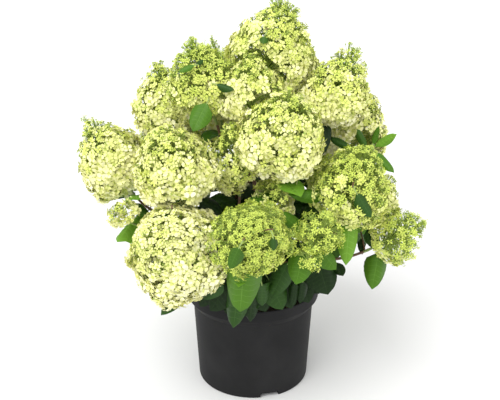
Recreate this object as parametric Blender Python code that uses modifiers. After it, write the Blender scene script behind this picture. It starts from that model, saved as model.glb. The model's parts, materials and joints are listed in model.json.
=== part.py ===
"""A potted panicle hydrangea: a nursery pot filled with compost, a short woody stool, the canes
that rise from it, and one leafy flowering shoot at the end of every cane.

Run it with: blender --background --python part.py

The origin is the centre of the pot's underside, +Z is up and the front of the plant faces -Y.
A turn is an angle round the pot's axis in degrees: 0 is the front, 90 the right and 180 the back.
"""

import math
import random
from collections import namedtuple

import bmesh
import bpy
from mathutils import Matrix, Vector

# The pot, in metres: a 5 litre nursery container.
POT_HEIGHT = 0.176
LIP_RADIUS = 0.1145
LIP_TAPER = 0.0008
COLLAR_RADIUS = 0.105
COLLAR_HEIGHT = 0.145
CHAMFER_HEIGHT = 0.0115
BASE_RADIUS = 0.0965
EDGE = 0.0015
WALL = 0.002
FLOOR_UNDER = 0.009
FLOOR = 0.0025
FOOT_RING = 0.010
CENTRE_PAD = 0.022
NOTCHES = 3
NOTCH_TURN = 17.5
NOTCH_WIDTH = 0.033
DRAIN_HOLES = 6
DRAIN_RADIUS = 0.006
DRAIN_OUT = 0.064
POT_STEPS = 32

# The compost, and the stool that stands on it.
SOIL_TOP = 0.153
SOIL_CROWN = 0.004
STOOL_HEIGHT = 0.034
STOOL_FOOT = 0.034
STOOL_TOP = 0.0235
STOOL_WAIST = 0.80
STOOL_LOBES = 4
STOOL_SIDES = 16
STOOL_MARGIN = 0.006
CANE_RING = 0.0165

# Gap between pieces that meet, and the room that leaves and florets keep from other pieces.
GAP = 0.0003
ROOM = 0.0012

# The wood, from the stool out to the flower head.
CANE_BASE = 0.0040
BRANCH_BASE = 0.0031
CANE_TIP = 0.0024
SHOOT_TIP = 0.0017
STRAIGHT = 0.003
STIFFNESS = 0.38
LINE_POINTS = 25
LIMB_POINTS = 5
SHOOT_LENGTH = 0.135
LEAFY_SHARE = 0.68
FIRST_FORK = 0.50
FORK_STEP = 0.16
FORK_ANGLE = 58

# Flower heads. Lengths along a head are shares of its length, from its base.
CORE_SHARE = 0.78
STEM_SINK = 0.4
ROOT_LOWEST = 0.28
ROOT_SPAN = 0.44
ROOT_OUT = 0.22
APEX_FLORET = 0.45
WIDEST = 0.66
FULLNESS = 0.85
FLORET_SPREAD = 0.50
FLORET_DOME = 0.28
FLORETS_SEEN = 16
FLORETS_FAR = 12
FLORETS_SIDE = 9
FLORETS_TINY = 5
FAR_SIDE = 0.05
SMALL_HEAD = 0.085
TINY_HEAD = 0.045
SIDE_FORK = 0.45
SIDE_RISE = 0.8
GOLDEN_TURN = math.pi * (3 - math.sqrt(5))

# Leaves.
LEAF_PAIRS = 4
LEAF_LENGTH = 0.088
LEAF_WIDTH = 0.60
LEAF_FOLD = 0.14
LEAF_THICKNESS = 0.0024
FIRST_PAIR = 0.014
ROOT_REACH = 0.008
TIP_PAIR = 0.004
PAIR_STEP = 0.031
STEM_SPACE = 0.030
TIP_SPACE = 0.045
LOWEST_WAY = -0.12
LEAF_OUTLINE = ((0, 0), (0.42, 0.5), (1, 0), (0.42, -0.5))
LEAF_TRIES = tuple((shrink, aside) for shrink in (1, 0.85, 0.7) for aside in (0, 25, -25, 50))

LEAF_GREEN = (0.13, 0.30, 0.05, 1.0)
BLOOM_LIME = (0.60, 0.68, 0.25, 1.0)
BARK_BROWN = (0.16, 0.09, 0.05, 1.0)
PLASTIC_BLACK = (0.035, 0.035, 0.037, 1.0)
COMPOST_BROWN = (0.06, 0.04, 0.025, 1.0)

# A shoot ends in a flower head, whose centre stands at turn, out and height. The head is length
# long and width wide. The leaf pairs below it are turned by roll degrees. With a lean of 0 the
# head points up, and with 1 it points away from the stool. A side is a smaller head on a twig of
# its own. A shoot with no width has leaves and no flower.
Shoot = namedtuple(
    "Shoot", "name turn out height length width roll lean sides", defaults=(0.6, ())
)
Side = namedtuple("Side", "turn out height length width")

# Canes seen from the front. The first shoot of each row is carried by the cane itself, and the
# others by branches that fork off it.
FRONT_CANES = (
    (
        Shoot("top", 112, 0.030, 0.586, 0.160, 0.136, 40, lean=2.8),
        Shoot("upper_middle", -8, 0.062, 0.530, 0.092, 0.090, 0),
    ),
    (
        Shoot(
            "centre",
            18,
            0.139,
            0.489,
            0.136,
            0.132,
            70,
            sides=(Side(15, 0.138, 0.384, 0.064, 0.068),),
        ),
        Shoot("inner", -16, 0.094, 0.436, 0.116, 0.090, 20),
    ),
    (
        Shoot("front_left", -31, 0.232, 0.324, 0.168, 0.150, 95, lean=0.8),
        Shoot("left_middle", -43, 0.180, 0.436, 0.134, 0.128, 30),
    ),
    (
        Shoot("front", -1, 0.246, 0.362, 0.130, 0.128, 45, lean=0.8),
        Shoot(
            "front_right",
            26,
            0.224,
            0.358,
            0.068,
            0.066,
            55,
            sides=(Side(19, 0.240, 0.324, 0.034, 0.032),),
        ),
        Shoot("front_leaves", -6, 0.150, 0.268, 0, 0, 20, lean=0.8),
    ),
    (
        Shoot("right_middle", 51, 0.195, 0.406, 0.134, 0.128, 15),
        Shoot("far_right", 71, 0.254, 0.296, 0.098, 0.088, 20, lean=0.8),
        Shoot("right_leaves", 40, 0.158, 0.272, 0, 0, 60, lean=0.8),
    ),
    (
        Shoot("right_high", 82, 0.141, 0.520, 0.145, 0.112, 30, lean=0.8),
        Shoot("right_back", 84, 0.203, 0.340, 0.094, 0.086, 10),
        Shoot("right_sprig", 86, 0.196, 0.432, 0, 0, 35),
    ),
    (
        Shoot("left_high", -62, 0.090, 0.550, 0.128, 0.114, 60, lean=1.2),
        Shoot("left_upper", -101, 0.154, 0.488, 0.140, 0.100, 20, lean=0.3),
    ),
    (
        Shoot(
            "far_left",
            -90,
            0.241,
            0.402,
            0.140,
            0.120,
            50,
            sides=(Side(-69, 0.226, 0.337, 0.034, 0.044),),
        ),
    ),
)

# Heads behind, in rings that fill the far side.
Ring = namedtuple("Ring", "name height out first step count")
FAR_RINGS = (
    Ring("far_middle", 0.424, 0.186, 112, 40, 4),
    Ring("far_low", 0.316, 0.214, 130, 48, 3),
    Ring("far_high", 0.520, 0.118, 148, 64, 2),
)
FAR_LENGTH = 0.132
FAR_WIDTH = 0.120
FAR_STAGGER = 0.012
FAR_ROLL = 35


def direction(turn):
    """The level direction at this turn."""
    angle = math.radians(turn)
    return Vector((math.sin(angle), -math.cos(angle), 0))


def place(turn, out, height):
    return direction(turn) * out + Vector((0, 0, height))


def far_canes():
    """The canes behind, worked out from the rings: a cane for each middle head, with a branch to
    the low head beside it, and branches to the two high ones."""
    middle, low, high = (
        [
            Shoot(
                f"{ring.name}_{k + 1}",
                ring.first + ring.step * k,
                ring.out,
                ring.height + FAR_STAGGER * (-1) ** k,
                FAR_LENGTH,
                FAR_WIDTH,
                FAR_ROLL * (k + 1),
            )
            for k in range(ring.count)
        ]
        for ring in FAR_RINGS
    )
    return (
        (middle[0], low[0]),
        (middle[1], high[0]),
        (middle[2], low[1], high[1]),
        (middle[3], low[2]),
    )


def material(name, colour, roughness):
    made = bpy.data.materials.new(name)
    made.use_nodes = True
    made.diffuse_color = colour
    shader = made.node_tree.nodes["Principled BSDF"]
    shader.inputs["Base Color"].default_value = colour
    shader.inputs["Roughness"].default_value = roughness
    shader.inputs["Metallic"].default_value = 0.0
    return made


def new_collection(name):
    made = bpy.data.collections.new(name)
    bpy.context.scene.collection.children.link(made)
    return made


def add_object(name, data, collection):
    made = bpy.data.objects.new(name, data)
    collection.objects.link(made)
    return made


def mesh_from(bm, name):
    mesh = bpy.data.meshes.new(name)
    bm.to_mesh(mesh)
    bm.free()
    return mesh


def turned(name, profile, collection):
    """A solid turned round the Z axis from a profile of (radius, height) at +X."""
    bm = bmesh.new()
    verts = [bm.verts.new((radius, 0, height)) for radius, height in profile]
    for a, b in zip(verts, verts[1:]):
        bm.edges.new((a, b))
    made = add_object(name, mesh_from(bm, name), collection)
    screw = made.modifiers.new("turn", "SCREW")
    screw.steps = screw.render_steps = POT_STEPS
    screw.use_merge_vertices = True
    screw.merge_threshold = 0.0001
    return made


def tube(name, points, radii, collection, sides=6):
    """A tapering limb along these points, as a curve with filled caps."""
    curve = bpy.data.curves.new(name, "CURVE")
    curve.dimensions = "3D"
    curve.bevel_depth = 1.0
    curve.bevel_resolution = sides // 2 - 2
    curve.use_fill_caps = True
    spline = curve.splines.new("POLY")
    spline.points.add(len(points) - 1)
    for spot, point, radius in zip(spline.points, points, radii):
        spot.co = (*point, 1)
        spot.radius = radius
    return add_object(name, curve, collection)


def as_mesh(limb):
    """The curve as a mesh, with its caps welded to its sides."""
    graph = bpy.context.evaluated_depsgraph_get()
    mesh = bpy.data.meshes.new_from_object(limb.evaluated_get(graph))
    bm = bmesh.new()
    bm.from_mesh(mesh)
    bmesh.ops.remove_doubles(bm, verts=bm.verts, dist=1e-6)
    bm.to_mesh(mesh)
    bm.free()
    mesh.shade_smooth()
    name, place_of, collection = limb.name, limb.matrix_world.copy(), limb.users_collection[0]
    bpy.data.objects.remove(limb)
    made = add_object(name, mesh, collection)
    made.matrix_world = place_of
    return made


def bezier(a, b, c, d, count):
    """Points along a cubic curve from a to d."""
    points = []
    for k in range(count):
        t = k / (count - 1)
        s = 1 - t
        points.append(a * s**3 + b * 3 * s * s * t + c * 3 * s * t * t + d * t**3)
    return points


def length_of(points):
    return sum((b - a).length for a, b in zip(points, points[1:]))


def cut_at(points, distance):
    """The polyline in two parts, cut this far along."""
    walked = 0.0
    for k, (a, b) in enumerate(zip(points, points[1:])):
        step = (b - a).length
        if walked + step >= distance:
            middle = a.lerp(b, (distance - walked) / step)
            return points[: k + 1] + [middle], [middle] + points[k + 1 :]
        walked += step
    raise ValueError("the cut is past the end of the limb")


def evenly(points, count):
    """This polyline again, with its points at even steps."""
    total = length_of(points)
    spots = [points[0]]
    for k in range(1, count - 1):
        spots.append(cut_at(points, total * k / (count - 1))[0][-1])
    return spots + [points[-1]]


def head_axis(shoot):
    """The direction in which the flower head points: between the cane's lean and straight up."""
    centre = place(shoot.turn, shoot.out, shoot.height)
    outwards = (centre - Vector((0, 0, SOIL_TOP + STOOL_HEIGHT))).normalized()
    return outwards.lerp(Vector((0, 0, 1)), 1 - shoot.lean).normalized()


def head_base(shoot):
    return place(shoot.turn, shoot.out, shoot.height) - head_axis(shoot) * shoot.length / 2


def grow_cane(start, first_way, shoot):
    """The line of a cane or branch from its start to the base of its flower head."""
    end = head_base(shoot)
    bend = (end - start).length * STIFFNESS
    return bezier(start, start + first_way * bend, end - head_axis(shoot) * bend, end, LINE_POINTS)


Limb = namedtuple("Limb", "name points radii")
Stem = namedtuple("Stem", "shoot points radii")


def tapered(points, first, last):
    """A radius for each point, even along the line from the first to the last."""
    total, walked, radii = length_of(points), 0.0, [first]
    for a, b in zip(points, points[1:]):
        walked += (b - a).length
        radii.append(first + (last - first) * walked / total)
    return radii


def split_cane(name, shoot, line, first_way, base_radius):
    """The cane's bare wood, and the stem of the leafy shoot that goes on from its tip. Both are
    straight for a short way where they meet, so that their cut ends are parallel."""
    total = length_of(line)
    leafy = min(SHOOT_LENGTH, total * LEAFY_SHARE)
    before, after = cut_at(line, total - leafy)
    way = (after[1] - before[-2]).normalized()
    cut = before[-1]
    bare = cut_at(before, length_of(before) - STRAIGHT)[0]
    bare = cut_at(bare, STRAIGHT)[1]
    wood = [line[0], line[0] + first_way * STRAIGHT]
    wood += evenly(bare, LIMB_POINTS)[1:-1] + [cut - way * STRAIGHT, cut]
    soft = cut_at(after, GAP + STRAIGHT)[1]
    stem = [cut + way * GAP, cut + way * (GAP + STRAIGHT)] + evenly(soft, LIMB_POINTS)[1:]
    return (
        Limb(name, wood, tapered(wood, base_radius, CANE_TIP)),
        Stem(shoot, stem, tapered(stem, CANE_TIP, SHOOT_TIP)),
    )


def fork(wood, share, shoot):
    """Where a branch leaves its cane for this shoot, and which way. It starts a gap off the bark."""
    before, after = cut_at(wood.points, length_of(wood.points) * share)
    along = (after[1] - before[-2]).normalized()
    towards = (head_base(shoot) - before[-1]).normalized()
    aside = (towards - along * towards.dot(along)).normalized()
    sine, cosine = math.sin(math.radians(FORK_ANGLE)), math.cos(math.radians(FORK_ANGLE))
    way = aside * sine + along * cosine
    bark = CANE_BASE + (CANE_TIP - CANE_BASE) * share
    clear = (bark + GAP + BRANCH_BASE * cosine) / sine
    return before[-1] + way * clear, way


def grow_plant():
    """Every limb and every shoot's stem, worked out from the table and the rings. The first cane
    stands in the middle of the stool, and the others round it in the order of their turns."""
    canes = FRONT_CANES + far_canes()
    limbs, stems = [], []
    top = SOIL_TOP + SOIL_CROWN + GAP + STOOL_HEIGHT + GAP
    upwards = Vector((0, 0, 1))
    starts = {canes[0][0].name: Vector((0, 0, top))}
    order = sorted(canes[1:], key=lambda cane: cane[0].turn % 360)
    for k, cane in enumerate(order):
        starts[cane[0].name] = place(360 * k / len(order), CANE_RING, top)
    for leader, *others in canes:
        line = grow_cane(starts[leader.name], upwards, leader)
        cane, stem = split_cane(f"cane_{leader.name}", leader, line, upwards, CANE_BASE)
        limbs.append(cane)
        stems.append(stem)
        for k, shoot in enumerate(others):
            start, way = fork(cane, FIRST_FORK + FORK_STEP * k, shoot)
            line = grow_cane(start, way, shoot)
            branch, stem = split_cane(f"branch_{shoot.name}", shoot, line, way, BRANCH_BASE)
            limbs.append(branch)
            stems.append(stem)
    return limbs, stems


def distance_to_line(point, line):
    nearest = 1e9
    for a, b in zip(line, line[1:]):
        along = b - a
        share = max(0.0, min(1.0, (point - a).dot(along) / along.length_squared))
        nearest = min(nearest, (point - a - along * share).length)
    return nearest


class Spaces:
    """Which piece of space belongs to which shoot. Each shoot has a few balls, and a point is the
    shoot's own where one of its balls is nearer than those of every other shoot."""

    def __init__(self, limbs, stems):
        self.balls = []
        self.wood = [(None, limb.points, max(limb.radii)) for limb in limbs]
        for stem in stems:
            shoot = stem.shoot
            self.wood.append((shoot.name, stem.points, max(stem.radii)))
            self.balls.append((shoot.name, stem.points[len(stem.points) // 2], STEM_SPACE))
            if shoot.width:
                centre = place(shoot.turn, shoot.out, shoot.height)
                self.balls.append((shoot.name, centre, shoot.width / 2))
            else:
                self.balls.append((shoot.name, stem.points[-1], TIP_SPACE))
            for side in shoot.sides:
                centre = place(side.turn, side.out, side.height)
                self.balls.append((shoot.name, centre, side.width / 2))

    def owns(self, name, point):
        powers = [((point - c).length_squared - r * r, owner, c) for owner, c, r in self.balls]
        mine = min((p for p in powers if p[1] == name), key=lambda p: p[0])
        return all(
            power - mine[0] > 2 * ROOM * (centre - mine[2]).length
            for power, owner, centre in powers
            if owner != name
        )

    def clear(self, name, points):
        """True if all these points lie in the shoot's own space, off the wood and off the pot."""
        for point in points:
            if not self.owns(name, point) or not clear_of_pot(point):
                return False
            for owner, line, radius in self.wood:
                if owner != name and distance_to_line(point, line) < radius + ROOM:
                    return False
        return True


def clear_of_pot(point):
    """True outside the pot, or above the compost inside it."""
    out = math.hypot(point.x, point.y)
    if point.z > POT_HEIGHT + ROOM:
        return True
    if out > LIP_RADIUS + ROOM and point.z > ROOM:
        return True
    above_compost = point.z > SOIL_TOP + SOIL_CROWN + ROOM
    return STOOL_FOOT + ROOM < out < COLLAR_RADIUS - WALL - ROOM and above_compost


def head_outline(share):
    """The flower head's radius at this share of its length, as a share of its half width. It is
    widest low down, and narrows to the apex."""
    return math.sin(math.pi * min(1.0, max(0.0, share)) ** WIDEST) ** FULLNESS


def even_shares(count):
    """Shares along a flower head that put the same area of its surface between them."""
    steps = 200
    areas = [head_outline((k + 0.5) / steps) + 0.08 for k in range(steps)]
    total = sum(areas)
    shares, walked, wanted = [], 0.0, 0.5
    for k, area in enumerate(areas):
        walked += area * count / total
        while wanted <= walked and len(shares) < count:
            shares.append((k + 0.5) / steps)
            wanted += 1
    return shares


def across(axis):
    """Two directions square to the axis, the first as level as it can be."""
    side = axis.cross(Vector((0, 0, 1)))
    side = side.normalized() if side.length > 0.05 else Vector((1, 0, 0))
    side = (side - axis * side.dot(axis)).normalized()
    return side, axis.cross(side)


def core_mesh(name, base, axis, length, width, spaces):
    """The dense middle of a flower head: a ball drawn out to the head's outline. Where it would
    leave the shoot's space it is drawn in towards the head's axis."""
    bm = bmesh.new()
    bmesh.ops.create_icosphere(bm, subdivisions=2 if width > SMALL_HEAD else 1, radius=1.0)
    u, v = across(axis)
    inset = (1 - CORE_SHARE) / 2
    for vert in bm.verts:
        share = (vert.co.z + 1) / 2
        flat = math.hypot(vert.co.x, vert.co.y)
        radius = head_outline(0.03 + 0.94 * share) * width / 2 * CORE_SHARE
        way = (u * vert.co.x + v * vert.co.y) / flat if flat > 1e-6 else Vector()
        reach = length * (inset + CORE_SHARE * share)
        for pull in (1.0, 0.85, 0.7, 0.55, 0.4, 0.25):
            vert.co = base + axis * reach + way * radius * pull
            if flat < 1e-6 or spaces.clear(name, (vert.co,)):
                break
    bmesh.ops.recalc_face_normals(bm, faces=bm.faces)
    return mesh_from(bm, "core")


def floret_mesh(spot, root, size, roll):
    """One cluster of florets: a square bloom whose underside tapers to a root in the core."""
    bm = bmesh.new()
    bmesh.ops.create_uvsphere(bm, u_segments=4, v_segments=2, radius=1.0)
    out = (spot - root).normalized()
    u, v = across(out)
    for vert in bm.verts:
        if vert.co.z > 0.5:
            vert.co = spot + out * size * FLORET_DOME
        elif vert.co.z < -0.5:
            vert.co = root
        else:
            angle = math.atan2(vert.co.y, vert.co.x) + roll
            vert.co = spot + (u * math.cos(angle) + v * math.sin(angle)) * size
    bmesh.ops.recalc_face_normals(bm, faces=bm.faces)
    return mesh_from(bm, "floret")


def leaf_mesh(root, way, length, droop):
    """A leaf whose outline has four points, a little folded and drooping to its tip."""
    bm = bmesh.new()
    bmesh.ops.create_uvsphere(bm, u_segments=len(LEAF_OUTLINE), v_segments=2, radius=1.0)
    side = way.cross(Vector((0, 0, 1))).normalized()
    face = side.cross(way)
    width = length * LEAF_WIDTH
    for vert in bm.verts:
        if abs(vert.co.z) > 0.5:
            along, wide = 0.45, 0.0
            lift = math.copysign(LEAF_THICKNESS / 2, vert.co.z)
        else:
            turn = math.atan2(vert.co.y, vert.co.x) / (2 * math.pi) * len(LEAF_OUTLINE)
            along, wide = LEAF_OUTLINE[round(turn) % len(LEAF_OUTLINE)]
            lift = abs(wide) * width * LEAF_FOLD
        sag = Vector((0, 0, -droop * length * along**2))
        vert.co = root + way * length * along + side * width * wide + face * lift + sag
    bmesh.ops.recalc_face_normals(bm, faces=bm.faces)
    return mesh_from(bm, "leaf")


def samples(mesh):
    """Points spread over the mesh: its corners, and points along its edges and on its faces."""
    points = [vert.co.copy() for vert in mesh.vertices]
    for edge in mesh.edges:
        a, b = (mesh.vertices[k].co for k in edge.vertices)
        points += [a.lerp(b, share) for share in (0.2, 0.4, 0.6, 0.8)]
    for face in mesh.polygons:
        centre = face.center.copy()
        points.append(centre)
        points += [centre.lerp(mesh.vertices[k].co, 0.5) for k in face.vertices]
    return points


def add_if_clear(mesh, name, spaces, pieces, root):
    """Adds the mesh to the shoot's pieces, unless it would leave its space beyond its root."""
    tested = [point for point in samples(mesh) if (point - root).length > ROOT_REACH]
    if spaces.clear(name, tested):
        add_object("piece", mesh, pieces)
        return True
    bpy.data.meshes.remove(mesh)
    return False


def add_head(name, base, axis, length, width, count, spaces, pieces):
    """A flower head: its core, and florets that stand out of it in a golden spiral. The florets
    get smaller towards the apex."""
    add_object("core", core_mesh(name, base, axis, length, width, spaces), pieces)
    u, v = across(axis)
    full_size = math.sqrt(math.pi * width * length / count) * FLORET_SPREAD
    rng = random.Random(f"head {name} {width}")
    for k, share in enumerate(even_shares(count)):
        angle = k * GOLDEN_TURN
        radius = head_outline(share) * width / 2
        way = u * math.cos(angle) + v * math.sin(angle)
        spot = base + axis * length * share + way * radius
        root = base + axis * length * (ROOT_LOWEST + ROOT_SPAN * share) + way * radius * ROOT_OUT
        spot += (spot - root).normalized() * rng.uniform(-0.05, 0.02) * width
        size = full_size * (APEX_FLORET + (1 - APEX_FLORET) * head_outline(share))
        mesh = floret_mesh(spot, root, size, rng.uniform(0, math.pi / 2))
        add_if_clear(mesh, name, spaces, pieces, root)


def add_leaves(stem, spaces, pieces):
    """Pairs of leaves, each pair square to the next, down the shoot from below its head. A leaf
    that would leave the shoot's space is turned aside or made smaller, and left out at last."""
    shoot, line = stem.shoot, stem.points
    rng = random.Random(f"leaves {shoot.name}")
    total = length_of(line)
    for pair in range(LEAF_PAIRS):
        distance = total - (FIRST_PAIR if shoot.width else TIP_PAIR) - PAIR_STEP * pair
        if distance < FIRST_PAIR:
            break
        before, after = cut_at(line, distance)
        root = before[-1]
        along = (after[1] - before[-2]).normalized()
        u, v = across(along)
        for half in (0, 180):
            for shrink, aside in LEAF_TRIES:
                turn = math.radians(shoot.roll + 90 * pair + half + aside + rng.uniform(-8, 8))
                outwards = u * math.cos(turn) + v * math.sin(turn)
                way = outwards + along * rng.uniform(0.20, 0.60)
                way.z = max(way.z, LOWEST_WAY)
                way.normalize()
                length = LEAF_LENGTH * shrink * rng.uniform(0.92, 1.10)
                mesh = leaf_mesh(root, way, length, rng.uniform(0.15, 0.45))
                if add_if_clear(mesh, shoot.name, spaces, pieces, root):
                    break


def add_twig(start, end, pieces):
    """A straight twig with three sides, its root sunk in the stem."""
    bm = bmesh.new()
    way = end - start
    bmesh.ops.create_cone(
        bm,
        cap_ends=True,
        segments=3,
        radius1=SHOOT_TIP,
        radius2=SHOOT_TIP * 0.8,
        depth=way.length,
    )
    turn = way.to_track_quat("Z", "Y").to_matrix().to_4x4()
    bmesh.ops.transform(bm, matrix=Matrix.Translation((start + end) / 2) @ turn, verts=bm.verts)
    add_object("twig", mesh_from(bm, "twig"), pieces)


def joined(name, pieces, collection, finish):
    """One solid from all the pieces in a collection, by one Boolean union."""
    first, *others = list(pieces.objects)
    rest = new_collection(name + "_rest")
    for other in others:
        pieces.objects.unlink(other)
        rest.objects.link(other)
    union = first.modifiers.new("join", "BOOLEAN")
    union.operation = "UNION"
    union.operand_type = "COLLECTION"
    union.collection = rest
    union.solver = "EXACT"
    graph = bpy.context.evaluated_depsgraph_get()
    mesh = bpy.data.meshes.new_from_object(first.evaluated_get(graph))
    mesh.name = name
    mesh.materials.clear()
    mesh.materials.append(finish)
    made = add_object(name, mesh, collection)
    for piece in [first, *others]:
        bpy.data.objects.remove(piece)
    bpy.data.collections.remove(rest)
    bpy.data.collections.remove(pieces)
    return made


def floret_count(shoot):
    """How many florets stand out of a shoot's head."""
    count = FLORETS_FAR if place(shoot.turn, shoot.out, shoot.height).y > FAR_SIDE else FLORETS_SEEN
    return count * 2 // 3 if shoot.width < SMALL_HEAD else count


def build_shoot(stem, spaces, collection, finish):
    """One mass of the crown: a stem with its leaves and its flower heads, in one solid."""
    shoot = stem.shoot
    pieces = new_collection(shoot.name + "_pieces")
    base, axis = head_base(shoot), head_axis(shoot)
    line, radii = list(stem.points), list(stem.radii)
    if shoot.width:
        line.append(base + axis * shoot.length * STEM_SINK)
        radii.append(SHOOT_TIP)
    as_mesh(tube(shoot.name, line, radii, pieces, sides=4))
    add_leaves(stem, spaces, pieces)
    if shoot.width:
        count = floret_count(shoot)
        add_head(shoot.name, base, axis, shoot.length, shoot.width, count, spaces, pieces)
    for side in shoot.sides:
        root = cut_at(stem.points, length_of(stem.points) * SIDE_FORK)[0][-1]
        centre = place(side.turn, side.out, side.height)
        axis = ((centre - root).normalized() + Vector((0, 0, SIDE_RISE))).normalized()
        base = centre - axis * side.length / 2
        add_twig(root, base + axis * side.length * STEM_SINK, pieces)
        count = FLORETS_SIDE if side.width > TINY_HEAD else FLORETS_TINY
        add_head(shoot.name, base, axis, side.length, side.width, count, spaces, pieces)
    return joined("shoot_" + shoot.name, pieces, collection, finish)


def build_pot(collection, cutters, finish):
    """The nursery pot: a turned shell on a notched foot ring and a centre pad."""
    floor_top = FLOOR_UNDER + FLOOR
    shoulder = COLLAR_HEIGHT + CHAMFER_HEIGHT
    lip = LIP_RADIUS - LIP_TAPER
    ring_inside = BASE_RADIUS - FOOT_RING
    pot = turned(
        "pot",
        (
            (0, floor_top),
            (BASE_RADIUS - WALL, floor_top),
            (COLLAR_RADIUS - WALL, COLLAR_HEIGHT),
            (lip - WALL, shoulder),
            (LIP_RADIUS - WALL, POT_HEIGHT - EDGE / 2),
            (LIP_RADIUS - WALL + EDGE / 2, POT_HEIGHT),
            (LIP_RADIUS - EDGE / 2, POT_HEIGHT),
            (LIP_RADIUS, POT_HEIGHT - EDGE),
            (lip, shoulder),
            (COLLAR_RADIUS, COLLAR_HEIGHT),
            (BASE_RADIUS, 2 * EDGE),
            (BASE_RADIUS - 2 * EDGE, 0),
            (ring_inside, 0),
            (ring_inside - EDGE, FLOOR_UNDER),
            (CENTRE_PAD + EDGE, FLOOR_UNDER),
            (CENTRE_PAD, 0),
            (0, 0),
        ),
        collection,
    )
    pot.data.materials.append(finish)
    for k in range(NOTCHES):
        add_cutter(pot, cutters, notch_mesh(NOTCH_TURN + 360 / NOTCHES * k), f"notch_{k + 1}")
    for k in range(DRAIN_HOLES):
        add_cutter(pot, cutters, drain_mesh(360 / DRAIN_HOLES * (k + 0.25)), f"drain_{k + 1}")
    return pot


def notch_mesh(turn):
    """A box across the foot ring, where water runs out from under the pot."""
    bm = bmesh.new()
    bmesh.ops.create_cube(bm, size=1.0)
    size = Matrix.Diagonal((NOTCH_WIDTH, FOOT_RING * 2, FLOOR_UNDER * 2 - GAP, 1))
    spin = Matrix.Rotation(math.radians(turn), 4, "Z")
    shift = Matrix.Translation((0, -(BASE_RADIUS - FOOT_RING / 2), 0))
    bmesh.ops.transform(bm, matrix=spin @ shift @ size, verts=bm.verts)
    return mesh_from(bm, "notch")


def drain_mesh(turn):
    """A round hole through the floor, near the foot ring."""
    bm = bmesh.new()
    bmesh.ops.create_cone(
        bm,
        cap_ends=True,
        segments=8,
        radius1=DRAIN_RADIUS,
        radius2=DRAIN_RADIUS,
        depth=FLOOR * 4,
    )
    centre = place(turn, DRAIN_OUT, FLOOR_UNDER + FLOOR / 2)
    bmesh.ops.transform(bm, matrix=Matrix.Translation(centre), verts=bm.verts)
    return mesh_from(bm, "drain")


def add_cutter(target, cutters, mesh, name):
    cutter = add_object(name, mesh, cutters)
    cutter.hide_render = True
    cutter.display_type = "WIRE"
    cut = target.modifiers.new(name, "BOOLEAN")
    cut.operation = "DIFFERENCE"
    cut.object = cutter
    cut.solver = "EXACT"


def build_soil(collection, finish):
    """The compost that fills the pot, a gap clear of its floor and wall."""
    floor = FLOOR_UNDER + FLOOR + GAP
    inside = BASE_RADIUS - WALL - 2 * GAP
    collar = COLLAR_RADIUS - WALL - 2 * GAP
    lip = LIP_RADIUS - LIP_TAPER - WALL - 2 * GAP
    rise = (SOIL_TOP - COLLAR_HEIGHT) / CHAMFER_HEIGHT
    soil = turned(
        "compost",
        (
            (0, SOIL_TOP + SOIL_CROWN),
            (STOOL_FOOT + STOOL_MARGIN, SOIL_TOP + SOIL_CROWN),
            (collar + (lip - collar) * rise, SOIL_TOP),
            (collar, COLLAR_HEIGHT),
            (inside, floor),
            (0, floor),
        ),
        collection,
    )
    soil.data.materials.append(finish)
    return soil


def build_stool(collection, finish):
    """The short woody stool: a lobed foot cut flat on the compost, a waist, and a flat head."""
    bm = bmesh.new()
    bmesh.ops.create_cone(
        bm,
        cap_ends=True,
        segments=STOOL_SIDES,
        radius1=STOOL_FOOT,
        radius2=STOOL_TOP,
        depth=STOOL_HEIGHT,
    )
    bmesh.ops.bisect_plane(
        bm,
        geom=bm.verts[:] + bm.edges[:] + bm.faces[:],
        plane_co=(0, 0, -STOOL_HEIGHT / 5),
        plane_no=(0, 0, 1),
    )
    for vert in bm.verts:
        if abs(vert.co.z) < STOOL_HEIGHT / 4:
            vert.co.xy *= STOOL_WAIST
        elif vert.co.z < 0:
            vert.co.xy *= 0.9 + 0.1 * math.cos(STOOL_LOBES * math.atan2(vert.co.y, vert.co.x))
        vert.co.z += SOIL_TOP + SOIL_CROWN + GAP + STOOL_HEIGHT / 2
    bmesh.ops.recalc_face_normals(bm, faces=bm.faces)
    stool = add_object("stool", mesh_from(bm, "stool"), collection)
    stool.data.materials.append(finish)
    return stool


def main():
    for thing in list(bpy.data.objects):
        bpy.data.objects.remove(thing)
    hydrangea = new_collection("potted_hydrangea")
    cutters = new_collection("cutters")
    bloom = material("bloom and leaf", BLOOM_LIME, 0.7)
    leaf = material("leaf", LEAF_GREEN, 0.6)
    wood = material("wood", BARK_BROWN, 0.8)
    build_pot(hydrangea, cutters, material("black plastic", PLASTIC_BLACK, 0.45))
    build_soil(hydrangea, material("compost", COMPOST_BROWN, 0.95))
    build_stool(hydrangea, wood)
    limbs, stems = grow_plant()
    spaces = Spaces(limbs, stems)
    for limb in limbs:
        made = as_mesh(tube(limb.name, limb.points, limb.radii, hydrangea))
        made.data.materials.append(wood)
    for stem in stems:
        finish = bloom if stem.shoot.width else leaf
        build_shoot(stem, spaces, hydrangea, finish)


main()
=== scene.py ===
"""The looks of a potted panicle hydrangea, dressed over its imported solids.

The origin is the centre of the pot's underside, +Z is up and the front of the plant faces -Y.
A turn is an angle round the pot's axis in degrees: 0 is the front, 90 the right and 180 the back.
"""

import json
import math
import random
from collections import namedtuple

import bmesh
import bpy
import numpy as np
from mathutils import Matrix, Vector, noise

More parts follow.
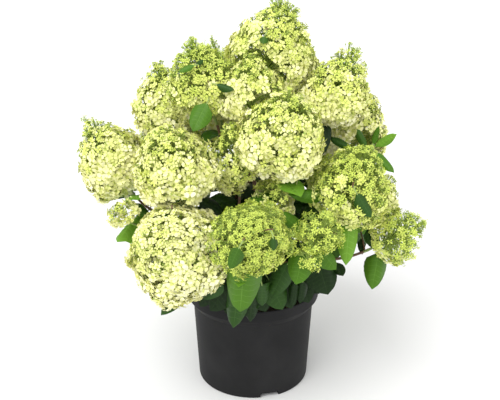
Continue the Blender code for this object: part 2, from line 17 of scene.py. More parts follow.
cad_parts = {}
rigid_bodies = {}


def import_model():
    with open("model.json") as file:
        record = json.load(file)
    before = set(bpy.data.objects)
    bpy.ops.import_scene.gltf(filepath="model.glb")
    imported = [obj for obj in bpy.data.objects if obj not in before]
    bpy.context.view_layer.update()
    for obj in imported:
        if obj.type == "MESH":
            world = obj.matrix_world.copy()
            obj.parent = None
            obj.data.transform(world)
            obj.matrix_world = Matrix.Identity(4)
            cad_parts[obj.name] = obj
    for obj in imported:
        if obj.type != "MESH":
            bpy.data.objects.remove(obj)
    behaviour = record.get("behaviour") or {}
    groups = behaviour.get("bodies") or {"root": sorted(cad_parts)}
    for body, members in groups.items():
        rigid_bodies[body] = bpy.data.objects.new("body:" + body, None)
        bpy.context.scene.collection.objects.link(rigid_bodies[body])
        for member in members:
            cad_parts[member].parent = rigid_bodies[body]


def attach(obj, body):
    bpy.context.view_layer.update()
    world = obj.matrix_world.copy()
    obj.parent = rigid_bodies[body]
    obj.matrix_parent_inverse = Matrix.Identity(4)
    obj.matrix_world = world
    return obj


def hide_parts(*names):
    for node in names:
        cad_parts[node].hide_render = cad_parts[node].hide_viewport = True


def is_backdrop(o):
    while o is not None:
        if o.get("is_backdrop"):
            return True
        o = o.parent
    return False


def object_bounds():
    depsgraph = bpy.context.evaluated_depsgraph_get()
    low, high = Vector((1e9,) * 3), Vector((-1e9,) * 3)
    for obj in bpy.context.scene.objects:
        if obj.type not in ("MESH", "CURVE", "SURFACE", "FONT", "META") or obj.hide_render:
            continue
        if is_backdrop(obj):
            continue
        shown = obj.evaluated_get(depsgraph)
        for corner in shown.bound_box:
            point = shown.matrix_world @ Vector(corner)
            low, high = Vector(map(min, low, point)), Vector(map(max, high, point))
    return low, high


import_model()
cad_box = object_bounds()


# The nursery pot: a black container of five litres, moulded in one shot of polypropylene. Its
# wall opens into a wider collar, and its foot ring has three notches that let the water out.
POT_HEIGHT = 0.176
LIP_RADIUS = 0.1145
LIP_TAPER = 0.0008
COLLAR_RADIUS = 0.105
COLLAR_HEIGHT = 0.145
CHAMFER_HEIGHT = 0.0115
BASE_RADIUS = 0.0965
EDGE = 0.0015
WALL = 0.002
FLOOR_UNDER = 0.009
FLOOR = 0.0025
FOOT_RING = 0.010
CENTRE_PAD = 0.022
NOTCHES = 3
NOTCH_TURN = 17.5
NOTCH_WIDTH = 0.033
DRAIN_HOLES = 6
DRAIN_RADIUS = 0.006
DRAIN_OUT = 0.064
POT_STEPS = 128
PLASTIC_BLACK = (0.0165, 0.0165, 0.017, 1.0)
PLASTIC_WORN = (0.024, 0.024, 0.0245, 1.0)


def rounded(profile, radius, steps=3):
    """The profile with each corner between its ends turned into a small arc."""
    points = [Vector(point) for point in profile]
    smooth = [points[0]]
    for before, corner, after in zip(points, points[1:], points[2:]):
        cut = min(radius, 0.4 * (corner - before).length, 0.4 * (corner - after).length)
        first = corner + (before - corner).normalized() * cut
        last = corner + (after - corner).normalized() * cut
        for k in range(steps + 1):
            t = k / steps
            smooth.append(first.lerp(corner, t).lerp(corner.lerp(last, t), t))
    return smooth + [points[-1]]


def lathe(name, profile, steps):
    """A closed mesh turned round the Z axis, from (radius, height) pairs that begin and end on it."""
    bm = bmesh.new()
    rings = []
    for radius, height in profile:
        spots = steps if radius > 1e-6 else 1
        angles = [2 * math.pi * k / steps for k in range(spots)]
        rings.append([bm.verts.new((radius * math.cos(a), radius * math.sin(a), height)) for a in angles])
    for lower, upper in zip(rings, rings[1:]):
        for k in range(steps):
            j = (k + 1) % steps
            corners = [lower[k % len(lower)], lower[j % len(lower)]]
            corners += [upper[j % len(upper)], upper[k % len(upper)]]
            bm.faces.new(list(dict.fromkeys(corners)))
    bmesh.ops.recalc_face_normals(bm, faces=bm.faces)
    mesh = bpy.data.meshes.new(name)
    bm.to_mesh(mesh)
    bm.free()
    return mesh


def add_object(name, mesh):
    made = bpy.data.objects.new(name, mesh)
    bpy.context.scene.collection.objects.link(made)
    return made


def finished(made):
    """The object's mesh with its modifiers applied, and no modifier left on it."""
    graph = bpy.context.evaluated_depsgraph_get()
    mesh = bpy.data.meshes.new_from_object(made.evaluated_get(graph))
    mesh.name = made.name
    made.modifiers.clear()
    made.data = mesh
    return made


def cut_away(made, mesh):
    """Cuts a shape out of the object."""
    cutter = add_object("cutter", mesh)
    cut = made.modifiers.new("cut", "BOOLEAN")
    cut.operation = "DIFFERENCE"
    cut.solver = "EXACT"
    cut.object = cutter
    finished(made)
    bpy.data.objects.remove(cutter)


def add_node(tree, kind, inputs=None, **settings):
    """A node with these settings, and its inputs given as values or as sockets to link from."""
    made = tree.nodes.new(kind)
    for name, value in settings.items():
        setattr(made, name, value)
    for name, value in (inputs or {}).items():
        if isinstance(value, bpy.types.NodeSocket):
            tree.links.new(value, made.inputs[name])
        else:
            made.inputs[name].default_value = value
    return made


def new_group(name, kind, inputs, outputs):
    """A node group with named sockets, as (name, type, value) and (name, type)."""
    tree = bpy.data.node_groups.new(name, kind)
    for label, socket, value in inputs:
        made = tree.interface.new_socket(label, in_out="INPUT", socket_type=socket)
        if value is not None:
            made.default_value = value
    for label, socket in outputs:
        tree.interface.new_socket(label, in_out="OUTPUT", socket_type=socket)
    return tree, tree.nodes.new("NodeGroupInput"), tree.nodes.new("NodeGroupOutput")


def grain_group():
    """Fine relief on the piece's own coordinates, with roughness and a mask that go with it."""
    tree, given, result = new_group(
        "surface grain",
        "ShaderNodeTree",
        (
            ("Scale", "NodeSocketFloat", 400.0),
            ("Stretch", "NodeSocketVector", (1.0, 1.0, 1.0)),
            ("Relief", "NodeSocketFloat", 0.0003),
            ("Smoothest", "NodeSocketFloat", 0.4),
            ("Roughest", "NodeSocketFloat", 0.6),
        ),
        (
            ("Roughness", "NodeSocketFloat"),
            ("Normal", "NodeSocketVector"),
            ("Mask", "NodeSocketFloat"),
        ),
    )
    place_on = add_node(tree, "ShaderNodeTexCoord").outputs["Object"]
    stretched = add_node(tree, "ShaderNodeVectorMath", operation="MULTIPLY")
    tree.links.new(place_on, stretched.inputs[0])
    tree.links.new(given.outputs["Stretch"], stretched.inputs[1])
    specks = add_node(
        tree,
        "ShaderNodeTexNoise",
        {"Vector": stretched.outputs["Vector"], "Scale": given.outputs["Scale"], "Detail": 4.0},
    )
    rough = add_node(
        tree,
        "ShaderNodeMapRange",
        {
            "Value": specks.outputs["Fac"],
            "From Min": 0.3,
            "From Max": 0.7,
            "To Min": given.outputs["Smoothest"],
            "To Max": given.outputs["Roughest"],
        },
    )
    bump = add_node(
        tree,
        "ShaderNodeBump",
        {"Height": specks.outputs["Fac"], "Distance": given.outputs["Relief"], "Strength": 1.0},
    )
    tree.links.new(rough.outputs["Result"], result.inputs["Roughness"])
    tree.links.new(bump.outputs["Normal"], result.inputs["Normal"])
    tree.links.new(specks.outputs["Fac"], result.inputs["Mask"])
    return tree


GRAIN = grain_group()


def finish(name, colour, grain, **sockets):
    """A material of one plain colour with grain. Sockets are set on the shader itself."""
    made = bpy.data.materials.new(name)
    made.use_nodes = True
    made.diffuse_color = colour
    tree = made.node_tree
    shader = tree.nodes["Principled BSDF"]
    shader.inputs["Base Color"].default_value = colour
    for label, value in sockets.items():
        shader.inputs[label.replace("_", " ")].default_value = value
    relief = add_node(tree, "ShaderNodeGroup", node_tree=GRAIN)
    for label, value in grain.items():
        relief.inputs[label].default_value = value
    tree.links.new(relief.outputs["Roughness"], shader.inputs["Roughness"])
    tree.links.new(relief.outputs["Normal"], shader.inputs["Normal"])
    return made


def two_tone(made, second, scale, low, high):
    """Mixes a second colour into a finish, in patches of this scale."""
    tree = made.node_tree
    shader = tree.nodes["Principled BSDF"]
    where = add_node(tree, "ShaderNodeTexCoord").outputs["Object"]
    patches = add_node(tree, "ShaderNodeTexNoise", {"Vector": where, "Scale": scale, "Detail": 5.0})
    share = add_node(
        tree,
        "ShaderNodeMapRange",
        {"Value": patches.outputs["Fac"], "From Min": low, "From Max": high},
    )
    mixed = add_node(tree, "ShaderNodeMix", data_type="RGBA")
    tree.links.new(share.outputs["Result"], mixed.inputs["Factor"])
    for socket, value in zip([s for s in mixed.inputs if s.type == "RGBA"], (made.diffuse_color, second)):
        socket.default_value = value
    tree.links.new([s for s in mixed.outputs if s.type == "RGBA"][0], shader.inputs["Base Color"])
    return made


def notch_mesh(turn):
    """A low box across the foot ring, with its edges eased."""
    bm = bmesh.new()
    bmesh.ops.create_cube(bm, size=1.0)
    size = Matrix.Diagonal((NOTCH_WIDTH, FOOT_RING * 2, FLOOR_UNDER * 2 - 0.0003, 1))
    bmesh.ops.transform(bm, matrix=size, verts=bm.verts)
    upright = [edge for edge in bm.edges if abs((edge.verts[0].co - edge.verts[1].co).y) > 1e-6]
    bmesh.ops.bevel(bm, geom=upright, offset=0.002, segments=3, affect="EDGES")
    spin = Matrix.Rotation(math.radians(turn), 4, "Z")
    shift = Matrix.Translation((0, -(BASE_RADIUS - FOOT_RING / 2), 0))
    bmesh.ops.transform(bm, matrix=spin @ shift, verts=bm.verts)
    mesh = bpy.data.meshes.new("notch")
    bm.to_mesh(mesh)
    bm.free()
    return mesh


def drain_mesh(turn):
    bm = bmesh.new()
    bmesh.ops.create_cone(
        bm,
        cap_ends=True,
        segments=28,
        radius1=DRAIN_RADIUS,
        radius2=DRAIN_RADIUS,
        depth=FLOOR * 4,
    )
    angle = math.radians(turn)
    centre = Vector((math.sin(angle) * DRAIN_OUT, -math.cos(angle) * DRAIN_OUT, FLOOR_UNDER + FLOOR / 2))
    bmesh.ops.transform(bm, matrix=Matrix.Translation(centre), verts=bm.verts)
    mesh = bpy.data.meshes.new("drain")
    bm.to_mesh(mesh)
    bm.free()
    return mesh


floor_top = FLOOR_UNDER + FLOOR
shoulder = COLLAR_HEIGHT + CHAMFER_HEIGHT
lip = LIP_RADIUS - LIP_TAPER
ring_inside = BASE_RADIUS - FOOT_RING
pot_profile = (
    (0, floor_top),
    (BASE_RADIUS - WALL, floor_top),
    (COLLAR_RADIUS - WALL, COLLAR_HEIGHT),
    (lip - WALL, shoulder),
    (LIP_RADIUS - WALL, POT_HEIGHT),
    (LIP_RADIUS, POT_HEIGHT),
    (LIP_RADIUS, POT_HEIGHT - 0.004),
    (LIP_RADIUS - 0.0006, POT_HEIGHT - 0.0045),
    (lip, shoulder),
    (COLLAR_RADIUS, COLLAR_HEIGHT),
    (COLLAR_RADIUS - 0.0008, COLLAR_HEIGHT - 0.0016),
    (BASE_RADIUS, 2 * EDGE),
    (BASE_RADIUS - EDGE, 0),
    (ring_inside, 0),
    (ring_inside - EDGE, FLOOR_UNDER),
    (CENTRE_PAD + EDGE, FLOOR_UNDER),
    (CENTRE_PAD, 0),
    (0, 0),
)
pot = add_object("nursery_pot", lathe("nursery_pot", rounded(pot_profile, EDGE), POT_STEPS))
for k in range(NOTCHES):
    cut_away(pot, notch_mesh(NOTCH_TURN + 360 / NOTCHES * k))
for k in range(DRAIN_HOLES):
    cut_away(pot, drain_mesh(360 / DRAIN_HOLES * (k + 0.25)))
pot.data.shade_smooth()
pot.data.set_sharp_from_angle(angle=math.radians(38))
plastic = finish(
    "black moulded plastic",
    PLASTIC_BLACK,
    {"Scale": 900.0, "Relief": 0.00005, "Smoothest": 0.50, "Roughest": 0.62},
    Specular_IOR_Level=0.08,
)
pot.data.materials.append(two_tone(plastic, PLASTIC_WORN, 14.0, 0.42, 0.75))
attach(pot, "root")
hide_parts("pot")


# The compost: peat with fine bark, filled to below the rim and heaped a little round the stool.
# Loose crumbs and bark chips lie on it, scattered by Geometry Nodes.
SOIL_TOP = 0.153
SOIL_CROWN = 0.004
STOOL_FOOT = 0.034
SOIL_RELIEF = 0.0016
CRUMB_DENSITY = 52000.0
CRUMB_SIZE = 0.0019
COMPOST_DARK = (0.030, 0.020, 0.013, 1.0)
COMPOST_LIGHT = (0.085, 0.055, 0.034, 1.0)


def compost_mesh():
    """The filling of the pot, clear of its wall, with a rough top."""
    floor = floor_top + 0.0003
    collar = COLLAR_RADIUS - WALL - 0.0006
    edge = collar + (lip - WALL - 0.0006 - collar) * (SOIL_TOP - COLLAR_HEIGHT) / CHAMFER_HEIGHT
    profile = [(0, SOIL_TOP + SOIL_CROWN)]
    for k in range(1, 27):
        out = edge * k / 26
        heap = min(1.0, max(0.0, (edge - out) / (edge - STOOL_FOOT)))
        profile.append((out, SOIL_TOP + SOIL_CROWN * heap))
    profile += [(collar, COLLAR_HEIGHT), (BASE_RADIUS - WALL - 0.0006, floor), (0, floor)]
    mesh = lathe("compost_filling", profile, 96)
    for vert in mesh.vertices:
        out = math.hypot(vert.co.x, vert.co.y)
        if vert.co.z > SOIL_TOP - 0.001 and out < edge - 0.001:
            lift = noise.fractal(vert.co * 90, 0.9, 2.0, 4) - 0.25
            vert.co.z += SOIL_RELIEF * lift
    return mesh


def crumb_mesh(long, flat, seed):
    """A crumb or chip: a rough lump, drawn out along one axis and flattened on another."""
    rng = random.Random(seed)
    bm = bmesh.new()
    bmesh.ops.create_icosphere(bm, subdivisions=1, radius=1.0)
    for vert in bm.verts:
        vert.co *= rng.uniform(0.7, 1.25)
        vert.co.x *= long
        vert.co.z *= flat
    mesh = bpy.data.meshes.new("crumb")
    bm.to_mesh(mesh)
    bm.free()
    return mesh


def scatter_tree():
    """Scatters the members of a collection over the upper faces of a surface."""
    tree, given, result = new_group(
        "scatter on compost",
        "GeometryNodeTree",
        (
            ("Geometry", "NodeSocketGeometry", None),
            ("Kinds", "NodeSocketCollection", None),
            ("Density", "NodeSocketFloat", 1000.0),
            ("Size", "NodeSocketFloat", 0.002),
            ("Lowest", "NodeSocketFloat", 0.0),
            ("Finish", "NodeSocketMaterial", None),
            ("Seed", "NodeSocketInt", 1),
        ),
        (("Geometry", "NodeSocketGeometry"),),
    )
    height = add_node(tree, "ShaderNodeSeparateXYZ")
    tree.links.new(add_node(tree, "GeometryNodeInputPosition").outputs[0], height.inputs[0])
    high = add_node(tree, "FunctionNodeCompare", operation="GREATER_THAN")
    tree.links.new(height.outputs["Z"], high.inputs[0])
    tree.links.new(given.outputs["Lowest"], high.inputs[1])
    spots = add_node(
        tree,
        "GeometryNodeDistributePointsOnFaces",
        {
            "Mesh": given.outputs["Geometry"],
            "Selection": high.outputs[0],
            "Density": given.outputs["Density"],
            "Seed": given.outputs["Seed"],
        },
    )
    kinds = add_node(
        tree,
        "GeometryNodeCollectionInfo",
        {"Collection": given.outputs["Kinds"], "Separate Children": True, "Reset Children": True},
    )
    turn = add_node(tree, "FunctionNodeRandomValue", data_type="FLOAT_VECTOR")
    turn.inputs[1].default_value = (0.7, 0.7, 6.28)
    share = add_node(tree, "FunctionNodeRandomValue", data_type="FLOAT")
    share.inputs[2].default_value = 0.35
    share.inputs[3].default_value = 1.0
    size = add_node(tree, "ShaderNodeMath", operation="MULTIPLY")
    tree.links.new(share.outputs[1], size.inputs[0])
    tree.links.new(given.outputs["Size"], size.inputs[1])
    pick = add_node(tree, "FunctionNodeRandomValue", data_type="INT")
    pick.inputs[4].default_value = 0
    pick.inputs[5].default_value = 9
    tree.links.new(given.outputs["Seed"], pick.inputs["Seed"])
    laid = add_node(
        tree,
        "GeometryNodeInstanceOnPoints",
        {
            "Points": spots.outputs["Points"],
            "Instance": kinds.outputs[0],
            "Pick Instance": True,
            "Instance Index": pick.outputs[2],
            "Rotation": turn.outputs[0],
            "Scale": size.outputs[0],
        },
    )
    real = add_node(tree, "GeometryNodeRealizeInstances", {"Geometry": laid.outputs[0]})
    painted = add_node(
        tree,
        "GeometryNodeSetMaterial",
        {"Geometry": real.outputs[0], "Material": given.outputs["Finish"]},
    )
    tree.links.new(painted.outputs[0], result.inputs["Geometry"])
    return tree


def made_by(tree, name, mesh, values):
    """A new piece: what this tree of nodes makes of a mesh, as a plain mesh."""
    made = add_object(name, mesh)
    nodes = made.modifiers.new("nodes", "NODES")
    nodes.node_group = tree
    for item in tree.interface.items_tree:
        if item.in_out == "INPUT" and item.name in values:
            nodes[item.identifier] = values[item.name]
    finished(made)
    made.data.shade_smooth()
    return made


def hidden_kinds(name, meshes):
    """A collection of shapes that the nodes pick from. It isn't part of the scene."""
    kinds = bpy.data.collections.new(name)
    for k, mesh in enumerate(meshes):
        kinds.objects.link(bpy.data.objects.new(f"{name} {k + 1}", mesh))
    return kinds


def drop_kinds(kinds):
    for made in list(kinds.objects):
        bpy.data.objects.remove(made)
    bpy.data.collections.remove(kinds)


peat = two_tone(
    finish(
        "compost",
        COMPOST_DARK,
        {"Scale": 1200.0, "Relief": 0.0005, "Smoothest": 0.85, "Roughest": 1.0},
    ),
    COMPOST_LIGHT,
    260.0,
    0.35,
    0.7,
)
compost = add_object("compost_filling", compost_mesh())
compost.data.shade_smooth()
compost.data.materials.append(peat)
crumb_kinds = hidden_kinds(
    "crumb",
    [crumb_mesh(1.0, 0.8, k) for k in range(4)] + [crumb_mesh(2.2, 0.35, k) for k in range(4, 7)],
)
crumbs = made_by(
    scatter_tree(),
    "compost_crumbs",
    compost.data.copy(),
    {
        "Kinds": crumb_kinds,
        "Density": CRUMB_DENSITY,
        "Size": CRUMB_SIZE,
        "Lowest": SOIL_TOP - 0.0015,
        "Finish": peat,
        "Seed": 7,
    },
)
drop_kinds(crumb_kinds)
for piece in (compost, crumbs):
    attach(piece, "root")
    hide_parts("compost")


# The plan of the plant: a shoot's row is the place of its flower head, and how ripe, loose and flat
# below it is, with its side heads. The first shoot in a row of shoots is the tip of a cane, and the
# others are branches that fork off it.
Shoot = namedtuple(
    "Shoot", "name turn out height length width roll ripe lean sides loose flat", defaults=(0.6, (), 0.0, 0.0)
)
Side = namedtuple("Side", "turn out height length width")
CENTRE_SIDE = (Side(15, 0.138, 0.384, 0.064, 0.068),)
RIGHT_SIDE = (Side(19, 0.240, 0.324, 0.034, 0.032),)
LEFT_SIDE = (Side(-69, 0.226, 0.337, 0.034, 0.044),)
FRONT_CANES = (
    (
        Shoot("top", 110, 0.034, 0.586, 0.160, 0.139, 40, 0.62, lean=3.5),
        Shoot("upper_middle", -4, 0.064, 0.539, 0.104, 0.102, 0, 0.70),
    ),
    (
        Shoot("centre", 18, 0.139, 0.489, 0.136, 0.132, 70, 0.68, sides=CENTRE_SIDE),
        Shoot("inner", -16, 0.094, 0.436, 0.116, 0.090, 20, 0.50, loose=0.15),
    ),
    (
        Shoot("front_left", -30.3, 0.232, 0.325, 0.168, 0.148, 95, 1.00, lean=0.8),
        Shoot("left_middle", -43, 0.180, 0.436, 0.134, 0.128, 30, 0.78, flat=0.10),
    ),
    (
        Shoot("front", -1, 0.246, 0.362, 0.130, 0.128, 45, 0.16, lean=0.8, flat=0.28),
        Shoot("front_right", 26, 0.224, 0.358, 0.068, 0.066, 55, 0.05, sides=RIGHT_SIDE, loose=0.15),
        Shoot("front_leaves", -6, 0.150, 0.268, 0, 0, 20, 0.0, lean=0.8),
    ),
    (
        Shoot("right_middle", 51, 0.195, 0.406, 0.134, 0.128, 15, 0.38),
        Shoot("far_right", 71, 0.249, 0.301, 0.096, 0.086, 20, 0.25, lean=0.8, loose=0.25),
        Shoot("right_leaves", 40, 0.158, 0.272, 0, 0, 60, 0.0, lean=0.8),
    ),
    (
        Shoot("right_high", 82, 0.136, 0.524, 0.145, 0.106, 30, 0.66, lean=0.8, flat=0.22),
        Shoot("right_back", 84, 0.203, 0.340, 0.094, 0.086, 10, 0.75),
        Shoot("right_sprig", 86, 0.196, 0.432, 0, 0, 35, 0.0),
    ),
    (
        Shoot("left_high", -62, 0.090, 0.550, 0.128, 0.114, 60, 0.42, lean=1.2, flat=0.18),
        Shoot("left_upper", -101, 0.150, 0.489, 0.140, 0.097, 20, 0.74, lean=0.3),
    ),
    (Shoot("far_left", -90, 0.238, 0.406, 0.140, 0.117, 50, 0.76, sides=LEFT_SIDE),),
)
Ring = namedtuple("Ring", "name height out first step count")
FAR_RINGS = (
    Ring("far_middle", 0.424, 0.186, 112, 40, 4),
    Ring("far_low", 0.316, 0.214, 130, 48, 3),
    Ring("far_high", 0.520, 0.118, 148, 64, 2),
)
FAR_LENGTH = 0.132
FAR_WIDTH = 0.120
FAR_STAGGER = 0.012
FAR_ROLL = 35
FAR_RIPE = (0.70, 0.45, 0.85, 0.58)


def place(turn, out, height):
    angle = math.radians(turn)
    return np.array((math.sin(angle) * out, -math.cos(angle) * out, height))


def far_canes():
    """The canes behind: one for each middle head of the rings, with branches to the others."""
    middle, low, high = (
        [
            Shoot(
                f"{ring.name}_{k + 1}",
                ring.first + ring.step * k,
                ring.out,
                ring.height + FAR_STAGGER * (-1) ** k,
                FAR_LENGTH,
                FAR_WIDTH,
                FAR_ROLL * (k + 1),
                FAR_RIPE[(k + len(ring.name)) % len(FAR_RIPE)],
            )
            for k in range(ring.count)
        ]
        for ring in FAR_RINGS
    )
    return (
        (middle[0], low[0]),
        (middle[1], high[0]),
        (middle[2], low[1], high[1]),
        (middle[3], low[2]),
    )


# The stool: the old wood at the foot of the plant, cut back every spring. It swells where it
# meets the compost, and where each of this year's canes leaves its head.
STOOL_HEIGHT = 0.034
STOOL_TOP = 0.0235
CANE_RING = 0.0165
STOOL_SIDES = 110
STOOL_RISES = 40
BARK_DARK = (0.085, 0.045, 0.024, 1.0)
BARK_LIGHT = (0.24, 0.14, 0.075, 1.0)
GAP = 0.0003
cane_count = len(FRONT_CANES) + len(far_canes())


def stool_mesh():
    base = SOIL_TOP + SOIL_CROWN - 0.003
    height = STOOL_HEIGHT + 0.003 + GAP
    verts = []
    for row in range(STOOL_RISES + 1):
        share = row / STOOL_RISES
        waist = 1 - math.sin(math.pi * share) ** 1.5 * 0.24
        wide = (STOOL_FOOT * 0.94 * (1 - share) + STOOL_TOP * share) * waist
        for side in range(STOOL_SIDES):
            angle = 2 * math.pi * side / STOOL_SIDES
            roots = 0.09 * math.cos(4 * angle + 0.6) * (1 - share) ** 2
            necks = 0.07 * math.cos((cane_count - 1) * angle) * share**2
            spot = Vector((math.cos(angle) * 3.2, math.sin(angle) * 3.2, share * 1.1))
            fissure = abs(noise.noise(spot * 2.4)) * 0.10 + noise.noise(spot * 7.0) * 0.03
            out = wide * (1 + roots + necks - fissure)
            verts.append((math.cos(angle) * out, math.sin(angle) * out, base + height * share))
    rings = [range(k * STOOL_SIDES, (k + 1) * STOOL_SIDES) for k in range(STOOL_RISES + 1)]
    for inward in (0.85, 0.6, 0.3):
        first = len(verts)
        for k in rings[STOOL_RISES]:
            x, y, z = verts[k]
            dip = noise.noise(Vector((x, y, 0)) * 160) * 0.0012
            verts.append((x * inward, y * inward, z + 0.0008 + dip))
        rings.append(range(first, first + STOOL_SIDES))
    faces = []
    for lower, upper in zip(rings, rings[1:]):
        for k in range(STOOL_SIDES):
            j = (k + 1) % STOOL_SIDES
            faces.append((lower[k], lower[j], upper[j], upper[k]))
    for ring, height in ((rings[0], base), (rings[-1], base + height)):
        verts.append((0, 0, height))
        for k in range(STOOL_SIDES):
            j = (k + 1) % STOOL_SIDES
            pair = (ring[j], ring[k]) if height == base else (ring[k], ring[j])
            faces.append((*pair, len(verts) - 1))
    mesh = bpy.data.meshes.new("stool_wood")
    mesh.from_pydata(verts, [], faces)
    mesh.shade_smooth()
    return mesh


bark = two_tone(
    finish(
        "bark",
        BARK_DARK,
        {
            "Scale": 900.0,
            "Stretch": (1.0, 1.0, 0.22),
            "Relief": 0.0007,
            "Smoothest": 0.6,
            "Roughest": 0.9,
        },
    ),
    BARK_LIGHT,
    70.0,
    0.36,
    0.66,
)
stool = add_object("stool_wood", stool_mesh())
stool.data.materials.append(bark)
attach(stool, "root")
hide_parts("stool")


# The canes and their branches: last year's wood, brown and ridged, with a swollen ring at each
# pair of old leaf scars. They rise from the stool, bend out and end where this year's growth starts.
CANE_BASE = 0.0040
BRANCH_BASE = 0.0031
CANE_TIP = 0.0024
SHOOT_TIP = 0.0017
STIFFNESS = 0.38
LINE_POINTS = 49
SHOOT_LENGTH = 0.135
LEAFY_SHARE = 0.68
FIRST_FORK = 0.50
FORK_STEP = 0.16
FORK_ANGLE = 58
CANE_STEP = 0.0016
SCAR_STEP = 0.036
SCAR_LENGTH = 0.0022
SCAR_SWELL = 0.22
FOOT_SWELL = 0.75
BARK_RELIEF = 0.0007
UPWARDS = np.array((0.0, 0.0, 1.0))


def unit(ways):
    return ways / np.maximum(np.linalg.norm(ways, axis=-1, keepdims=True), 1e-9)


def walked(points):
    """How far along the line each of its points is."""
    steps = np.linalg.norm(np.diff(points, axis=0), axis=1)
    return np.concatenate(([0.0], np.cumsum(steps)))


def spots_at(points, distances):
    """The points this far along a line."""
    far = walked(points)
    return np.stack([np.interp(distances, far, points[:, k]) for k in range(3)], axis=-1)


def stretch_of(points, first, last, step):
    """The part of a line between two distances, in even steps."""
    count = max(2, int(round((last - first) / step)) + 1)
    return spots_at(points, np.linspace(first, last, count))


def head_axis(shoot):
    """The direction in which the flower head points: between the cane's lean and straight up."""
    centre = place(shoot.turn, shoot.out, shoot.height)
    outwards = unit(centre - UPWARDS * (SOIL_TOP + STOOL_HEIGHT))
    return unit(outwards * shoot.lean + UPWARDS * (1 - shoot.lean))


def head_base(shoot):
    return place(shoot.turn, shoot.out, shoot.height) - head_axis(shoot) * shoot.length / 2


def grow_line(start, first_way, shoot):
    """The line of a cane or branch from its start to the base of its flower head."""
    end = head_base(shoot)
    bend = np.linalg.norm(end - start) * STIFFNESS
    b = start + first_way * bend
    c = end - head_axis(shoot) * bend
    t = np.linspace(0, 1, LINE_POINTS)[:, None]
    s = 1 - t
    return start * s**3 + b * 3 * s * s * t + c * 3 * s * t * t + end * t**3


Limb = namedtuple("Limb", "shoot wood stem root_radius")


def grow_limb(shoot, line, root_radius):
    """A limb in two parts: the bare wood, and the stem of the leafy shoot that goes on from it."""
    total = walked(line)[-1]
    leafy = min(SHOOT_LENGTH, total * LEAFY_SHARE)
    wood = stretch_of(line, 0, total - leafy, CANE_STEP)
    stem = stretch_of(line, total - leafy, total, CANE_STEP)
    return Limb(shoot, wood, stem, root_radius)


def fork(cane, share, shoot):
    """Where a branch leaves its cane for this shoot, and which way."""
    total = walked(cane.wood)[-1]
    at, ahead = spots_at(cane.wood, np.array((total * share, total * share + 0.004)))
    along = unit(ahead - at)
    towards = unit(head_base(shoot) - at)
    aside = unit(towards - along * towards.dot(along))
    sine = math.sin(math.radians(FORK_ANGLE))
    cosine = math.cos(math.radians(FORK_ANGLE))
    way = aside * sine + along * cosine
    bark_radius = CANE_BASE + (CANE_TIP - CANE_BASE) * share
    clear = (bark_radius + GAP + BRANCH_BASE * cosine) / sine
    return at, at + way * clear, way


def grow_plant():
    """All the canes and branches. The first cane stands in the middle of the stool, and the others
    round it in the order of their turns."""
    rows = FRONT_CANES + far_canes()
    canes, branches = [], []
    top = SOIL_TOP + SOIL_CROWN + GAP + STOOL_HEIGHT + GAP
    starts = {rows[0][0].name: UPWARDS * top}
    order = sorted(rows[1:], key=lambda row: row[0].turn % 360)
    for k, row in enumerate(order):
        starts[row[0].name] = place(360 * k / len(order), CANE_RING, top)
    for leader, *others in rows:
        line = grow_line(starts[leader.name], UPWARDS, leader)
        cane = grow_limb(leader, line, CANE_BASE)
        canes.append(cane)
        for k, shoot in enumerate(others):
            heart, start, way = fork(cane, FIRST_FORK + FORK_STEP * k, shoot)
            line = np.vstack((heart, grow_line(start, way, shoot)))
            branches.append(grow_limb(shoot, line, BRANCH_BASE))
    return canes, branches


canes, branches = grow_plant()
limbs = canes + branches


def bark_radii(limb):
    """The radius of the wood along a limb, with its leaf scars and its swollen foot."""
    far = walked(limb.wood)
    radii = limb.root_radius + (CANE_TIP - limb.root_radius) * far / far[-1]
    from_scar = np.abs((far[-1] - far + SCAR_STEP / 2) % SCAR_STEP - SCAR_STEP / 2)
    radii *= 1 + SCAR_SWELL * np.exp(-((from_scar / SCAR_LENGTH) ** 2))
    return radii * (1 + FOOT_SWELL * np.exp(-far / 0.006))


def chains_mesh(name, lines, radii):
    """A mesh of open chains of edges, each point with its thickness."""
    verts = np.concatenate(lines)
    counts = np.array([len(line) for line in lines])
    numbers = np.arange(len(verts) - 1)
    ends = np.cumsum(counts)[:-1] - 1
    numbers = np.setdiff1d(numbers, ends)
    edges = np.stack((numbers, numbers + 1), axis=1)
    mesh = bpy.data.meshes.new(name)
    mesh.vertices.add(len(verts))
    mesh.vertices.foreach_set("co", verts.astype(np.float32).ravel())
    mesh.edges.add(len(edges))
    mesh.edges.foreach_set("vertices", edges.astype(np.int32).ravel())
    thickness = mesh.attributes.new("thickness", "FLOAT", "POINT")
    thickness.data.foreach_set("value", np.concatenate(radii).astype(np.float32))
    mesh.update()
    return mesh


